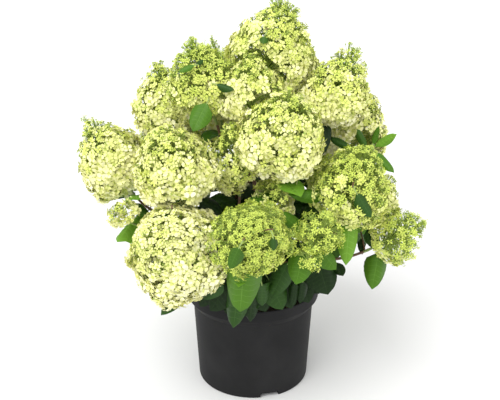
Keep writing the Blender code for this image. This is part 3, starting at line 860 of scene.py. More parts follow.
def limb_tree():
    """Draws a round limb along each chain, and roughens it with ridges that run upwards."""
    tree, given, result = new_group(
        "limbs along chains",
        "GeometryNodeTree",
        (
            ("Geometry", "NodeSocketGeometry", None),
            ("Sides", "NodeSocketInt", 6),
            ("Relief", "NodeSocketFloat", 0.0),
            ("Ridges", "NodeSocketFloat", 500.0),
            ("Finish", "NodeSocketMaterial", None),
        ),
        (("Geometry", "NodeSocketGeometry"),),
    )
    line = add_node(tree, "GeometryNodeMeshToCurve", {"Mesh": given.outputs["Geometry"]})
    ring = add_node(
        tree, "GeometryNodeCurvePrimitiveCircle", {"Resolution": given.outputs["Sides"], "Radius": 1.0}
    )
    thickness = add_node(tree, "GeometryNodeInputNamedAttribute", {"Name": "thickness"}, data_type="FLOAT")
    tube = add_node(
        tree,
        "GeometryNodeCurveToMesh",
        {
            "Curve": line.outputs[0],
            "Profile Curve": ring.outputs[0],
            "Scale": thickness.outputs[0],
            "Fill Caps": True,
        },
    )
    drawn = add_node(tree, "ShaderNodeVectorMath", operation="MULTIPLY")
    tree.links.new(add_node(tree, "GeometryNodeInputPosition").outputs[0], drawn.inputs[0])
    drawn.inputs[1].default_value = (1.0, 1.0, 0.18)
    ridges = add_node(
        tree,
        "ShaderNodeTexNoise",
        {"Vector": drawn.outputs[0], "Scale": given.outputs["Ridges"], "Detail": 3.0},
    )
    centred = add_node(tree, "ShaderNodeMath", operation="SUBTRACT")
    tree.links.new(ridges.outputs["Fac"], centred.inputs[0])
    centred.inputs[1].default_value = 0.5
    height = add_node(tree, "ShaderNodeMath", operation="MULTIPLY")
    tree.links.new(centred.outputs[0], height.inputs[0])
    tree.links.new(given.outputs["Relief"], height.inputs[1])
    push = add_node(tree, "ShaderNodeVectorMath", operation="SCALE")
    tree.links.new(add_node(tree, "GeometryNodeInputNormal").outputs[0], push.inputs[0])
    tree.links.new(height.outputs[0], push.inputs["Scale"])
    rough = add_node(
        tree,
        "GeometryNodeSetPosition",
        {"Geometry": tube.outputs[0], "Offset": push.outputs[0]},
    )
    real = add_node(tree, "GeometryNodeRealizeInstances", {"Geometry": rough.outputs[0]})
    painted = add_node(
        tree,
        "GeometryNodeSetMaterial",
        {"Geometry": real.outputs[0], "Material": given.outputs["Finish"]},
    )
    tree.links.new(painted.outputs[0], result.inputs["Geometry"])
    return tree


LIMBS_ALONG = limb_tree()


def grow_piece(name, lines, radii, sides, paint, relief=0.0, ridges=500.0):
    """One piece of round limbs along these lines."""
    values = {"Sides": sides, "Relief": relief, "Ridges": ridges, "Finish": paint}
    return made_by(LIMBS_ALONG, name, chains_mesh(name, lines, radii), values)


for name, group, label in (("cane_wood", canes, "cane_"), ("branch_wood", branches, "branch_")):
    wood = grow_piece(
        name,
        [limb.wood for limb in group],
        [bark_radii(limb) for limb in group],
        12,
        bark,
        BARK_RELIEF * 2,
    )
    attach(wood, "root")
    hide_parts(*[label + limb.shoot.name for limb in group])


# The green shoots: this year's stems, from the tip of the wood to the foot of each flower head.
# They are soft and smooth, red-brown low down and green above, with a ring at each pair of leaves.
FIRST_PAIR = 0.014
TIP_PAIR = 0.004
PAIR_STEP = 0.031
STEM_RED = (0.15, 0.080, 0.042, 1.0)
STEM_GREEN = (0.26, 0.36, 0.10, 1.0)
RED_SHARE = 0.84
STEM_BARK = 1.22
SIDE_FORK = 0.45
SIDE_RISE = 0.8
shoot_nodes = ["shoot_" + limb.shoot.name for limb in limbs]

Head = namedtuple("Head", "shoot number base axis length width ripe loose flat")
heads, side_twigs = [], []
for limb in limbs:
    shoot = limb.shoot
    if shoot.width:
        base, axis = head_base(shoot), head_axis(shoot)
        sizes = (shoot.length, shoot.width, shoot.ripe, shoot.loose, shoot.flat)
        heads.append(Head(shoot.name, 0, base, axis, *sizes))
    for number, side in enumerate(shoot.sides):
        root = spots_at(limb.stem, np.array((walked(limb.stem)[-1] * SIDE_FORK,)))[0]
        centre = place(side.turn, side.out, side.height)
        axis = unit(unit(centre - root) + UPWARDS * SIDE_RISE)
        base = centre - axis * side.length / 2
        heads.append(Head(shoot.name, number + 1, base, axis, side.length, side.width, shoot.ripe, 0.2, 0.0))
        t = np.linspace(0, 1, 14)[:, None]
        middle = base - axis * np.linalg.norm(base - root) * 0.45
        side_twigs.append(root * (1 - t) ** 2 + middle * 2 * t * (1 - t) + base * t**2)


def stem_radii(limb):
    far = walked(limb.stem)
    radii = (CANE_TIP + (SHOOT_TIP - CANE_TIP) * far / far[-1]) * STEM_BARK
    first = FIRST_PAIR if limb.shoot.width else TIP_PAIR
    from_pair = np.abs((far[-1] - far - first + PAIR_STEP / 2) % PAIR_STEP - PAIR_STEP / 2)
    return radii * (1 + 0.28 * np.exp(-((from_pair / 0.0018) ** 2)))


stem_paints = []
for name, colour in (("red stem", STEM_RED), ("green stem", STEM_GREEN)):
    stem_paints.append(
        finish(
            name,
            colour,
            {
                "Scale": 700.0,
                "Stretch": (1.0, 1.0, 0.3),
                "Relief": 0.0002,
                "Smoothest": 0.42,
                "Roughest": 0.6,
            },
        )
    )
lower, upper = [], []
for limb in limbs:
    cut = int(len(limb.stem) * RED_SHARE)
    radii = stem_radii(limb)
    lower.append((limb.stem[: cut + 1], radii[: cut + 1]))
    upper.append((limb.stem[cut:], radii[cut:]))
for twig in side_twigs:
    upper.append((twig, np.full(len(twig), SHOOT_TIP)))
for name, parts, paint in (("lower_stems", lower, stem_paints[0]), ("upper_stems", upper, stem_paints[1])):
    stems = grow_piece(name, [p[0] for p in parts], [p[1] for p in parts], 8, paint, 0.0002)
    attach(stems, "root")
    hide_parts(*shoot_nodes)


# The leaves: in pairs, each square to the next, down every shoot from below its flower head, and
# on down the young wood. A blade is folded along its midrib, puffed between its side veins,
# toothed, and drooping to a drawn-out tip. Each keeps to its own shoot's space.
ROOM = 0.0012
STEM_SPACE = 0.030
TIP_SPACE = 0.045
LEAF_PAIRS = 4
WOOD_PAIRS = 3
LEAF_LENGTH = 0.088
LEAF_WIDTH = 0.60
PETIOLE_SHARE = 0.13
PETIOLE_RADIUS = 0.0010
TWIG_FROM = 0.022
TWIG_RADIUS = 0.0013
TWIG_SHORT = 0.012
LEAF_FOLD = 0.20
LOWEST_WAY = -0.12
LEAF_TRIES = tuple((shrink, aside) for shrink in (1, 0.85, 0.7) for aside in (0, 25, -25, 50))
VEINS = 6
VEIN_HALF = 0.0045
VEIN_SLANT = 0.17
PUFF = 0.016
TOOTH = 0.022
# Five greens from bright to dark, each with a lighter vein colour. Young leaves are really a brighter green.
# The darker greens are partly the deeper green of older leaves and partly painted shade, for leaves deep in
# the bush and under the heads.
LEAF_GREENS = (
    ("young leaf", (0.150, 0.32, 0.028, 1.0), (0.21, 0.40, 0.055, 1.0)),
    ("fresh leaf", (0.065, 0.165, 0.010, 1.0), (0.10, 0.22, 0.024, 1.0)),
    ("grown leaf", (0.040, 0.110, 0.008, 1.0), (0.065, 0.155, 0.018, 1.0)),
    ("shaded leaf", (0.024, 0.070, 0.009, 1.0), (0.042, 0.105, 0.018, 1.0)),
    # The darkest green is painted shadow, for leaves in deep shade under the heads and round the rim.
    ("old leaf", (0.010, 0.029, 0.005, 1.0), (0.019, 0.046, 0.010, 1.0)),
)
# The leaves that show alone in the photograph: foot and tip in metres, width, and number of the
# green. The shoots that carry most of them grow no others.
PLACED_SHOOTS = ("front_leaves", "right_leaves", "right_sprig", "far_right", "front_right")
FACING = np.array((0.0, -0.78, 0.62))
# The darker greens, 3 and 4, are painted shade: they go to leaves that lie in shadow under the heads and over
# the pot's rim.
PLACED_LEAVES = (
    ((-0.014, -0.250, 0.321), (-0.020, -0.222, 0.235), 0.053, 1),
    ((-0.022, -0.165, 0.249), (-0.032, -0.150, 0.167), 0.041, 3),
    ((-0.049, -0.165, 0.260), (-0.079, -0.150, 0.219), 0.028, 3),
    ((0.013, -0.160, 0.250), (0.014, -0.140, 0.201), 0.031, 3),
    ((-0.002, -0.150, 0.242), (-0.005, -0.132, 0.168), 0.032, 4),
    ((0.073, -0.215, 0.330), (0.062, -0.228, 0.283), 0.038, 1),
    ((0.093, -0.188, 0.327), (0.124, -0.192, 0.290), 0.033, 1),
    ((0.148, -0.135, 0.350), (0.143, -0.150, 0.276), 0.032, 0),
    ((0.204, -0.080, 0.268), (0.194, -0.095, 0.207), 0.037, 1),
    ((0.077, -0.172, 0.340), (0.036, -0.172, 0.374), 0.029, 1),
    ((0.102, -0.122, 0.267), (0.118, -0.140, 0.221), 0.051, 4),
    ((0.054, -0.140, 0.278), (0.028, -0.150, 0.221), 0.034, 3),
    ((0.066, -0.128, 0.238), (0.062, -0.130, 0.196), 0.016, 4),
    ((0.079, -0.124, 0.238), (0.075, -0.126, 0.198), 0.018, 4),
    ((0.113, -0.150, 0.391), (0.051, -0.160, 0.399), 0.022, 1),
    ((0.037, -0.110, 0.431), (0.081, -0.110, 0.400), 0.031, 4),
    ((0.114, -0.030, 0.478), (0.107, -0.060, 0.424), 0.027, 4),
    ((0.121, -0.030, 0.448), (0.156, -0.060, 0.437), 0.014, 3),
    ((0.185, -0.020, 0.426), (0.165, -0.035, 0.463), 0.014, 2),
    ((0.197, -0.016, 0.427), (0.230, -0.030, 0.453), 0.016, 0),
    ((0.195, -0.014, 0.428), (0.203, -0.014, 0.462), 0.010, 1),
    ((0.195, -0.020, 0.421), (0.227, -0.045, 0.392), 0.018, 1),
    ((0.151, -0.180, 0.408), (0.173, -0.185, 0.371), 0.022, 3),
    ((-0.070, -0.100, 0.523), (-0.091, -0.118, 0.483), 0.033, 1),
    ((-0.056, -0.098, 0.551), (-0.029, -0.106, 0.544), 0.013, 3),
    ((-0.086, -0.086, 0.579), (-0.074, -0.092, 0.586), 0.008, 3),
    ((-0.088, -0.090, 0.578), (-0.112, -0.094, 0.568), 0.010, 1),
    ((0.017, -0.050, 0.614), (0.014, -0.056, 0.603), 0.014, 2),
    ((-0.020, -0.304, 0.377), (-0.033, -0.306, 0.345), 0.021, 2),
    ((0.026, -0.298, 0.388), (0.027, -0.302, 0.371), 0.012, 3),
    ((-0.125, -0.198, 0.386), (-0.132, -0.206, 0.375), 0.010, 2),
    ((-0.047, -0.085, 0.335), (-0.085, -0.105, 0.366), 0.036, 4),
    ((-0.105, -0.200, 0.257), (-0.138, -0.225, 0.231), 0.021, 3),
    ((-0.170, -0.030, 0.309), (-0.193, -0.050, 0.340), 0.018, 2),
    ((-0.208, -0.010, 0.332), (-0.222, -0.030, 0.364), 0.015, 3),
    ((0.203, -0.040, 0.329), (0.236, -0.050, 0.339), 0.010, 2),
    ((0.189, -0.050, 0.300), (0.203, -0.070, 0.266), 0.025, 3),
    ((0.179, -0.045, 0.278), (0.180, -0.060, 0.254), 0.013, 4),
    ((0.132, -0.110, 0.264), (0.142, -0.130, 0.249), 0.019, 4),
    ((-0.035, -0.135, 0.241), (-0.069, -0.134, 0.189), 0.043, 4),
    ((-0.061, -0.122, 0.235), (-0.086, -0.118, 0.188), 0.030, 4),
    ((-0.012, -0.128, 0.229), (-0.017, -0.136, 0.178), 0.043, 4),
    ((0.004, -0.126, 0.237), (0.020, -0.134, 0.187), 0.041, 4),
    ((0.023, -0.128, 0.245), (0.047, -0.132, 0.190), 0.044, 3),
    ((0.049, -0.112, 0.239), (0.061, -0.126, 0.189), 0.037, 4),
    ((0.074, -0.100, 0.235), (0.090, -0.112, 0.192), 0.037, 4),
    ((0.091, -0.080, 0.234), (0.108, -0.092, 0.198), 0.036, 4),
    ((-0.025, -0.110, 0.222), (-0.044, -0.132, 0.183), 0.042, 4),
)


class Room:
    """Which piece of space belongs to which shoot. Each shoot has a few balls, and a point is the
    shoot's own where one of its balls is nearer than those of every other shoot."""

    def __init__(self):
        owners, centres, radii = [], [], []
        for limb in limbs:
            shoot = limb.shoot
            rows = [(limb.stem[len(limb.stem) // 2], STEM_SPACE)]
            if shoot.width:
                rows.append((place(shoot.turn, shoot.out, shoot.height), shoot.width / 2))
            else:
                rows.append((limb.stem[-1], TIP_SPACE))
            rows += [(place(s.turn, s.out, s.height), s.width / 2) for s in shoot.sides]
            for centre, radius in rows:
                owners.append(shoot.name)
                centres.append(centre)
                radii.append(radius)
        self.owners, self.centres, self.radii = np.array(owners), np.array(centres), np.array(radii)
        self.between = np.linalg.norm(self.centres[:, None] - self.centres[None], axis=-1)
        first, last, thick, names = [], [], [], []
        for limb in limbs:
            for line, radius, name in (
                (limb.wood[::6], limb.root_radius, ""),
                (limb.stem[::6], CANE_TIP, limb.shoot.name),
            ):
                first.append(line[:-1])
                last.append(line[1:])
                thick += [radius] * (len(line) - 1)
                names += [name] * (len(line) - 1)
        self.first, self.last = np.concatenate(first), np.concatenate(last)
        self.thick, self.names = np.array(thick), np.array(names)

    def owned(self, name, points):
        """Which of these points are the shoot's own."""
        apart = np.linalg.norm(points[:, None] - self.centres[None], axis=-1)
        powers = apart**2 - self.radii**2
        mine = np.flatnonzero(self.owners == name)
        others = np.flatnonzero(self.owners != name)
        nearest = mine[np.argmin(powers[:, mine], axis=1)]
        lead = powers[:, others] - powers[np.arange(len(points)), nearest][:, None]
        return np.all(lead > 2 * ROOM * self.between[nearest][:, others], axis=1)

    def off_wood(self, name, points):
        """Which points are clear of the stems and the wood, other than the shoot's own."""
        use = self.names != name
        first, along = self.first[use], self.last[use] - self.first[use]
        share = np.einsum("pnk,nk->pn", points[:, None] - first[None], along)
        share = np.clip(share / (along**2).sum(1), 0, 1)
        near = first[None] + along[None] * share[..., None]
        apart = np.linalg.norm(points[:, None] - near, axis=-1)
        return np.all(apart > self.thick[use] + ROOM, axis=1)


def clear_of_pot(points):
    """True outside the pot, or above the compost inside it."""
    out = np.hypot(points[:, 0], points[:, 1])
    z = points[:, 2]
    above = z > POT_HEIGHT + ROOM
    outside = (out > LIP_RADIUS + ROOM) & (z > ROOM)
    inside = (out < COLLAR_RADIUS - WALL - ROOM) & (z > SOIL_TOP + SOIL_CROWN + 2 * ROOM)
    return above | outside | inside


WIDEST = 0.66
FULLNESS = 0.85


def head_outline(share):
    """The flower head's radius at this share of its length, as a share of its half width."""
    return np.sin(np.pi * np.clip(share, 0, 1) ** WIDEST) ** FULLNESS


def off_heads(points, room=0.0):
    """Which points lie outside every flower head."""
    clear = np.ones(len(points), bool)
    for head in heads:
        share = (points - head.base) @ head.axis / head.length
        out = np.linalg.norm(points - head.base - np.outer(share * head.length, head.axis), axis=1)
        inside = (share > 0) & (share < 1) & (out < head_outline(share) * head.width / 2 + room)
        clear &= ~inside
    return clear


room = Room()


def leaf_outline(share):
    """Half the blade's width along it, as a share of its widest: round at the foot, drawn out at
    the tip."""
    skewed = np.clip(share, 0.0, 1.0) ** 0.84
    return np.maximum((4 * skewed * (1 - skewed)) ** 0.74, 0.02)


def leaf_grid():
    """The blade as rows and columns. Each row starts on the midrib and runs along a side vein or
    between two of them. Returns how far along, how far across and how much puffed each point is,
    and the faces with their finish: 0 for the blade and 1 for the veins."""
    rows = [(0.0, 0.0, 0.0)]
    for k in range(VEINS):
        vein = 0.075 + 0.80 * (k / VEINS) ** 0.92
        after = 0.075 + 0.80 * ((k + 1) / VEINS) ** 0.92
        slant = VEIN_SLANT * (1 - 0.6 * k / VEINS)
        rows.append((vein - VEIN_HALF, slant, 0.0))
        rows.append((vein + VEIN_HALF, slant, 0.0))
        rows.append(((vein + after) / 2, slant * 0.95, 1.0))
    rows.append((1.0, 0.0, 0.0))
    columns = (-1.0, -0.68, -0.34, -0.022, 0.022, 0.34, 0.68, 1.0)
    along, across, puffed = [], [], []
    for row, (start, slant, puff) in enumerate(rows):
        for column in columns:
            wide = abs(column)
            along.append(min(start + slant * wide**1.25, 1.0))
            tooth = TOOTH * (0.5 - puff) if wide == 1.0 and 0 < row < len(rows) - 1 else 0.0
            across.append(math.copysign(wide + tooth, column))
            puffed.append(puff * (1.0 if 0.02 < wide < 1 else 0.25) * (wide > 0.03))
    faces, kinds = [], []
    width = len(columns)
    for row in range(len(rows) - 1):
        for column in range(width - 1):
            corner = row * width + column
            faces.append((corner, corner + width, corner + width + 1, corner + 1))
            midrib = column == 3
            side_vein = row % 3 == 1 and row < 3 * VEINS and 0 < column < width - 2
            kinds.append(1 if midrib or side_vein else 0)
    return np.array(along), np.array(across), np.array(puffed), np.array(faces)[:, ::-1], kinds


GRID_ALONG, GRID_ACROSS, GRID_PUFF, GRID_FACES, GRID_KINDS = leaf_grid()
Leaf = namedtuple("Leaf", "root foot way side blade width droop curl tint")


def leaf_points(leaf, along, across, puffed):
    """The points of one leaf's blade, which starts at the leaf's foot, where its petiole ends."""
    face = np.cross(leaf.side, leaf.way)
    half = leaf_outline(along) * leaf.width / 2
    lift = np.abs(across) * half * 2 * LEAF_FOLD + puffed * PUFF * leaf.blade
    lift -= leaf.curl * (across * half) ** 2 / leaf.width * 4
    lift += np.sin(along * 9 + leaf.curl * 20) * across**2 * 0.012 * leaf.blade
    points = leaf.foot + np.outer(along * leaf.blade, leaf.way) + np.outer(across * half, leaf.side)
    points += np.outer(lift, face)
    points[:, 2] -= leaf.droop * leaf.blade * along**2
    return points


TEST_ALONG = np.array((0.2, 0.45, 0.75, 1.0, 0.3, 0.3, 0.55, 0.55, 0.8, 0.8))
TEST_ACROSS = np.array((0, 0, 0, 0, 1, -1, 1, -1, 1, -1.0))


def across_ways(way):
    """Two directions square to this one, the first as level as it can be."""
    side = np.cross(way, UPWARDS)
    side = unit(side) if np.linalg.norm(side) > 0.05 else np.array((1.0, 0, 0))
    side = unit(side - way * side.dot(way))
    return side, np.cross(way, side)


def try_leaf(root, way, length, droop, tint, rng):
    side = unit(np.cross(way, UPWARDS))
    foot = root + way * length * PETIOLE_SHARE
    blade = length * (1 - PETIOLE_SHARE)
    return Leaf(root, foot, way, side, blade, length * LEAF_WIDTH, droop, rng.uniform(0.2, 1.0), tint)


def shoot_leaves(limb):
    """The pairs down one shoot, by the same rule as its solid."""
    shoot, line = limb.shoot, limb.stem
    rng = random.Random(f"leaves {shoot.name}")
    total = walked(line)[-1]
    leaves = []
    for pair in range(LEAF_PAIRS):
        distance = total - (FIRST_PAIR if shoot.width else TIP_PAIR) - PAIR_STEP * pair
        if distance < FIRST_PAIR:
            break
        root, ahead = spots_at(line, np.array((distance, distance + 0.003)))
        along = unit(ahead - root)
        u, v = across_ways(along)
        for half in (0, 180):
            for shrink, aside in LEAF_TRIES:
                turn = math.radians(shoot.roll + 90 * pair + half + aside + rng.uniform(-8, 8))
                way = u * math.cos(turn) + v * math.sin(turn) + along * rng.uniform(0.20, 0.60)
                way[2] = max(way[2], LOWEST_WAY)
                way = unit(way)
                length = LEAF_LENGTH * shrink * rng.uniform(0.92, 1.10)
                leaf = try_leaf(root, way, length, rng.uniform(0.15, 0.45), pair, rng)
                points = leaf_points(leaf, TEST_ALONG, TEST_ACROSS, np.zeros(10))
                clear = clear_of_pot(points).all() and room.owned(shoot.name, points).all()
                if clear and room.off_wood(shoot.name, points).all():
                    leaves.append(leaf)
                    break
    return leaves


def wood_leaves(limb):
    """Older leaves on the young wood below the shoot, where they keep off every flower head."""
    shoot, line = limb.shoot, limb.wood
    rng = random.Random(f"wood {shoot.name}")
    total = walked(line)[-1]
    leaves = []
    for pair in range(WOOD_PAIRS):
        distance = total - PAIR_STEP * 0.6 - PAIR_STEP * pair
        if distance < total * 0.3:
            break
        root, ahead = spots_at(line, np.array((distance, distance + 0.003)))
        along = unit(ahead - root)
        u, v = across_ways(along)
        for half in (0, 180):
            for shrink, aside in LEAF_TRIES:
                turn = math.radians(shoot.roll + 45 + 90 * pair + half + aside + rng.uniform(-12, 12))
                way = u * math.cos(turn) + v * math.sin(turn) + along * rng.uniform(0.1, 0.5)
                way[2] = max(way[2], -0.25)
                way = unit(way)
                length = LEAF_LENGTH * shrink * rng.uniform(0.85, 1.0)
                # Green 3 sets these low leaves darker: partly the deeper green of older leaves, partly
                # painted shade from the heads above.
                leaf = try_leaf(root, way, length, rng.uniform(0.2, 0.5), 3, rng)
                points = leaf_points(leaf, TEST_ALONG, TEST_ACROSS, np.zeros(10))
                clear = clear_of_pot(points).all() and off_heads(points, 0.004).all()
                if clear and room.off_wood("none", points[2:]).all():
                    leaves.append(leaf)
                    break
    return leaves


def placed_leaves():
    """The leaves that show alone, each on the nearest stem or rachis."""
    lines = [limb.wood for limb in limbs] + [limb.stem for limb in limbs]
    lines += [np.linspace(head.base, head.base + head.axis * head.length * 0.6, 20) for head in heads]
    stems = np.concatenate(lines)
    rng = random.Random("placed leaves")
    made = []
    for foot, tip, width, tint in PLACED_LEAVES:
        foot, tip = np.array(foot), np.array(tip)
        root = stems[np.argmin(np.linalg.norm(stems - foot, axis=1))]
        droop = rng.uniform(0.05, 0.14)
        reach = tip - foot
        reach = reach + UPWARDS * droop * np.linalg.norm(reach)
        blade, way = np.linalg.norm(reach), unit(reach)
        side = unit(np.cross(way, FACING))
        made.append(Leaf(root, foot, way, side, blade, width, droop, rng.uniform(0.3, 0.8), tint))
    return made


def twig_line(leaf):
    """A thin twig from the wood, which ends a short way behind the blade's foot."""
    end = leaf.foot - leaf.way * TWIG_SHORT
    middle = (leaf.root + end) / 2 + UPWARDS * np.linalg.norm(end - leaf.root) * 0.10
    t = np.linspace(0, 1, 9)[:, None]
    return leaf.root * (1 - t) ** 2 + middle * 2 * t * (1 - t) + end * t**2


leaves = []
for limb in limbs:
    if limb.shoot.name not in PLACED_SHOOTS:
        leaves += shoot_leaves(limb)
        leaves += wood_leaves(limb)
rule_count = len(leaves)
leaf_twigs = []
for leaf in placed_leaves():
    if np.linalg.norm(leaf.foot - leaf.root) > TWIG_FROM:
        leaf_twigs.append(twig_line(leaf))
        leaf = leaf._replace(root=leaf_twigs[-1][-2])
    leaves.append(leaf)


def tint_of(leaf, rng):
    """Young leaves near the tip are a bright green. Those further in and further down get darker greens:
    partly the deeper green of older leaves, and partly painted shade where the heads and the bush shade them.
    """
    tip = leaf.foot + leaf.way * leaf.blade
    inward = 1 - min(1.0, np.hypot(tip[0], tip[1]) / 0.25)
    # The pull inwards paints shade on the leaves deep in the bush.
    depth = leaf.tint * 0.55 + inward * 2.2 + rng.uniform(-0.9, 0.9)
    return int(min(4, max(0, round(depth))))


def leaves_mesh(name, batch):
    """All the leaves of one tint in a mesh."""
    count = len(GRID_ALONG)
    points = np.concatenate([leaf_points(leaf, GRID_ALONG, GRID_ACROSS, GRID_PUFF) for leaf in batch])
    faces = np.concatenate([GRID_FACES + count * k for k in range(len(batch))])
    mesh = bpy.data.meshes.new(name)
    mesh.from_pydata(points.tolist(), [], faces.tolist())
    mesh.polygons.foreach_set("material_index", np.array(GRID_KINDS * len(batch), np.int32))
    mesh.shade_smooth()
    return mesh


tint_rng = random.Random("leaf tints")
tinted = {}
for number, leaf in enumerate(leaves):
    tint = tint_of(leaf, tint_rng) if number < rule_count else leaf.tint
    tinted.setdefault(tint, []).append(leaf)
for number, (label, colour, vein) in enumerate(LEAF_GREENS):
    if number not in tinted:
        continue
    name = label.replace(" leaf", "_leaves")
    foliage = add_object(name, leaves_mesh(name, tinted[number]))
    grain = {"Scale": 420.0, "Relief": 0.00035, "Smoothest": 0.36, "Roughest": 0.55}
    foliage.data.materials.append(finish(label, colour, grain, Specular_IOR_Level=0.18))
    foliage.data.materials.append(finish(label + " vein", vein, grain, Specular_IOR_Level=0.18))
    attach(foliage, "root")
    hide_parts(*shoot_nodes)


def petiole_line(leaf):
    """From inside the stem to a little way under the blade's foot."""
    bend = leaf.foot - leaf.way * min(0.012, np.linalg.norm(leaf.foot - leaf.root) * 0.5)
    last = leaf.foot + leaf.way * leaf.blade * 0.06
    t = np.linspace(0, 1, 7)[:, None]
    points = leaf.root * (1 - t) ** 2 + bend * 2 * t * (1 - t) + last * t**2
    points[:, 2] -= 0.0004
    return points


petiole_radii = np.linspace(1.25, 0.75, 7) * PETIOLE_RADIUS
twig_radii = np.linspace(1.15, 0.85, 9) * TWIG_RADIUS
for name, lines, radii, paint in (
    ("petioles", [petiole_line(leaf) for leaf in leaves], petiole_radii, stem_paints[1]),
    ("leaf_twigs", leaf_twigs, twig_radii, stem_paints[0]),
):
    stalks = grow_piece(name, lines, [radii] * len(lines), 6, paint)
    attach(stalks, "root")
    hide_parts(*shoot_nodes)


# The stalks of the flower heads: a rachis up the middle of each head, branchlets that leave it in
# a spiral, and a thin stalk from each branchlet's fork to every floret and bud. Young florets
# gather in domed clusters, and ripe ones have filled the room between them.
ROOT_LOWEST = 0.28
ROOT_SPAN = 0.44
ROOT_OUT = 0.22
APEX_FROM = 0.55
APEX_FLORET = 0.56
GOLDEN_TURN = math.pi * (3 - math.sqrt(5))
CLUSTER_FLORETS = 7
SPACING_YOUNG = 0.0071
SPACING_RIPE = 0.0088
FLORET_AGES = (0.20, 0.40, 0.66, 0.90, 1.10)
FLORET_RADII = (0.0057, 0.0062, 0.0073, 0.0088, 0.0097)
JITTER = 0.22
BARE_NECK = 0.035
LUMPS = (0.15, 0.12)
GATHER = (0.11, 0.26)
DOME = (0.32, 0.55)
LAYERS = ((1.0, 0.000, 0.075), (1.8, 0.075, 0.140))
DRAWN_IN = 0.85
YOUNG = 0.38
RIPE = 0.66
STALK_GREEN = (0.34, 0.46, 0.085, 1.0)
Flower = namedtuple("Flower", "spot out size age")


def floret_scale(shares):
    """How large the florets are along a head: full size, but small towards its apex."""
    near_apex = np.clip((shares - APEX_FROM) / (1 - APEX_FROM), 0, 1)
    return 1 - (1 - APEX_FLORET) * near_apex**1.3


def spread_over(head, spacing, lumps, rng):
    """Points in a spiral over a flower head, this far apart and closer where its florets are
    smaller, in its own space. A head that leans out is drawn in below. Returns the points with
    their shares of its length."""
    edges = np.linspace(0, 1, 401)
    radii = head_outline(edges) * head.width / 2
    middles = (edges[1:] + edges[:-1]) / 2
    bands = math.pi * (radii[1:] + radii[:-1]) * np.hypot(np.diff(radii), head.length / 400)
    places = np.cumsum(bands / (spacing * floret_scale(middles)) ** 2)
    count = max(5, int(places[-1]))
    shares = np.interp((np.arange(count) + 0.5) * places[-1] / count, places, middles)
    shares = np.clip(shares + rng.normal(0, JITTER * spacing / head.length, count), 0.004, 0.996)
    out = np.maximum(head_outline(shares) * head.width / 2, spacing)
    angles = np.arange(count) * GOLDEN_TURN + rng.normal(0, 1, count) * JITTER * spacing / out
    u, v = across_ways(head.axis)
    ways = np.outer(np.cos(angles), u) + np.outer(np.sin(angles), v)
    swell = []
    for way, share in zip(ways, shares):
        where = Vector(way + head.axis * share * 2)
        broad, fine = noise.noise(where * 1.1 + lumps), noise.noise(where * 2.7 - lumps)
        swell.append(LUMPS[0] * broad + LUMPS[1] * fine)
    out = head_outline(shares) * head.width / 2 * (1 + np.array(swell))
    points = head.base + np.outer(shares * head.length, head.axis) + ways * out[:, None]
    middle = head.base + head.axis * head.length / 2
    below = np.clip((middle[2] - points[:, 2]) / (head.length / 2), 0, 1)
    points[:, :2] += (middle - points)[:, :2] * (DRAWN_IN * (1 - head.axis[2]) * below**2)[:, None]
    points[:, 2] += below * head.flat * head.length / 2
    kept = (shares > BARE_NECK) & room.owned(head.shoot, points)
    return shares[kept], points[kept]


branchlets, branchlet_radii, flowers, buds = [], [], [], []


def grow_cluster(head, depth, share, centre, members, rng):
    """One branchlet, and the florets and buds of its cluster about its end."""
    low = ROOT_LOWEST + ROOT_SPAN * share
    from_axis = centre - head.base - head.axis * head.length * share
    root = head.base + head.axis * head.length * low + from_axis * ROOT_OUT
    out = unit(centre - root)
    near_apex = max(0.0, share - 0.8) * 5
    apart, least, most = depth
    age = head.ripe + (0.45 - share) * 0.75 + rng.normal(0, 0.09)
    youth = min(1.0, max(near_apex, (0.78 - age) / 0.45, 0.0))
    sunk = rng.uniform(least - 0.03 * near_apex, most - 0.035 * (1 - youth)) * head.width
    gather = GATHER[0] + (GATHER[1] - GATHER[0]) * youth
    dome = DOME[0] + (DOME[1] - DOME[0]) * youth
    heart = centre - out * sunk
    reach = np.linalg.norm(heart - root)
    neck = heart - out * min(reach * 0.5, 0.011)
    first = head.base + head.axis * head.length * (low - 0.22)
    t = np.linspace(0, 1, 5)[:, None]
    branchlets.append(first * (1 - t) ** 2 + root * 2 * t * (1 - t) + neck * t**2)
    branchlet_radii.append(np.linspace(0.0011, 0.0007, 5))
    offsets = members - centre
    disc = min(max(0.004, np.linalg.norm(offsets, axis=1).max()), 0.014 * apart)
    scale = float(floret_scale(np.array(share)))
    for offset in offsets:
        ray = min(1.2, np.linalg.norm(offset) / disc)
        lift = (dome * (1 - ray**2) + rng.uniform(-0.18, 0.18)) * disc
        at = heart + offset * (1 - gather) + out * lift
        face = unit(out + offset / disc * 0.5 + rng.normal(0, 0.28, 3) + UPWARDS * 0.12)
        own_age = age + rng.normal(0, 0.12)
        size = np.interp(own_age, FLORET_AGES, FLORET_RADII) * scale * rng.uniform(0.86, 1.12)
        flowers.append((head, Flower(at, face, size, own_age), neck))
    side, up = across_ways(out)
    for k in range((1 + round(3 * youth)) if apart == 1 else 1):
        turn = rng.uniform(0, 2 * math.pi)
        spread = (side * math.cos(turn) + up * math.sin(turn)) * disc * math.sqrt(rng.uniform(0, 0.8))
        at = heart + spread * (1 - gather) + out * (dome * 0.5 + rng.uniform(-0.3, 0.15)) * disc
        buds.append((head, at, neck))


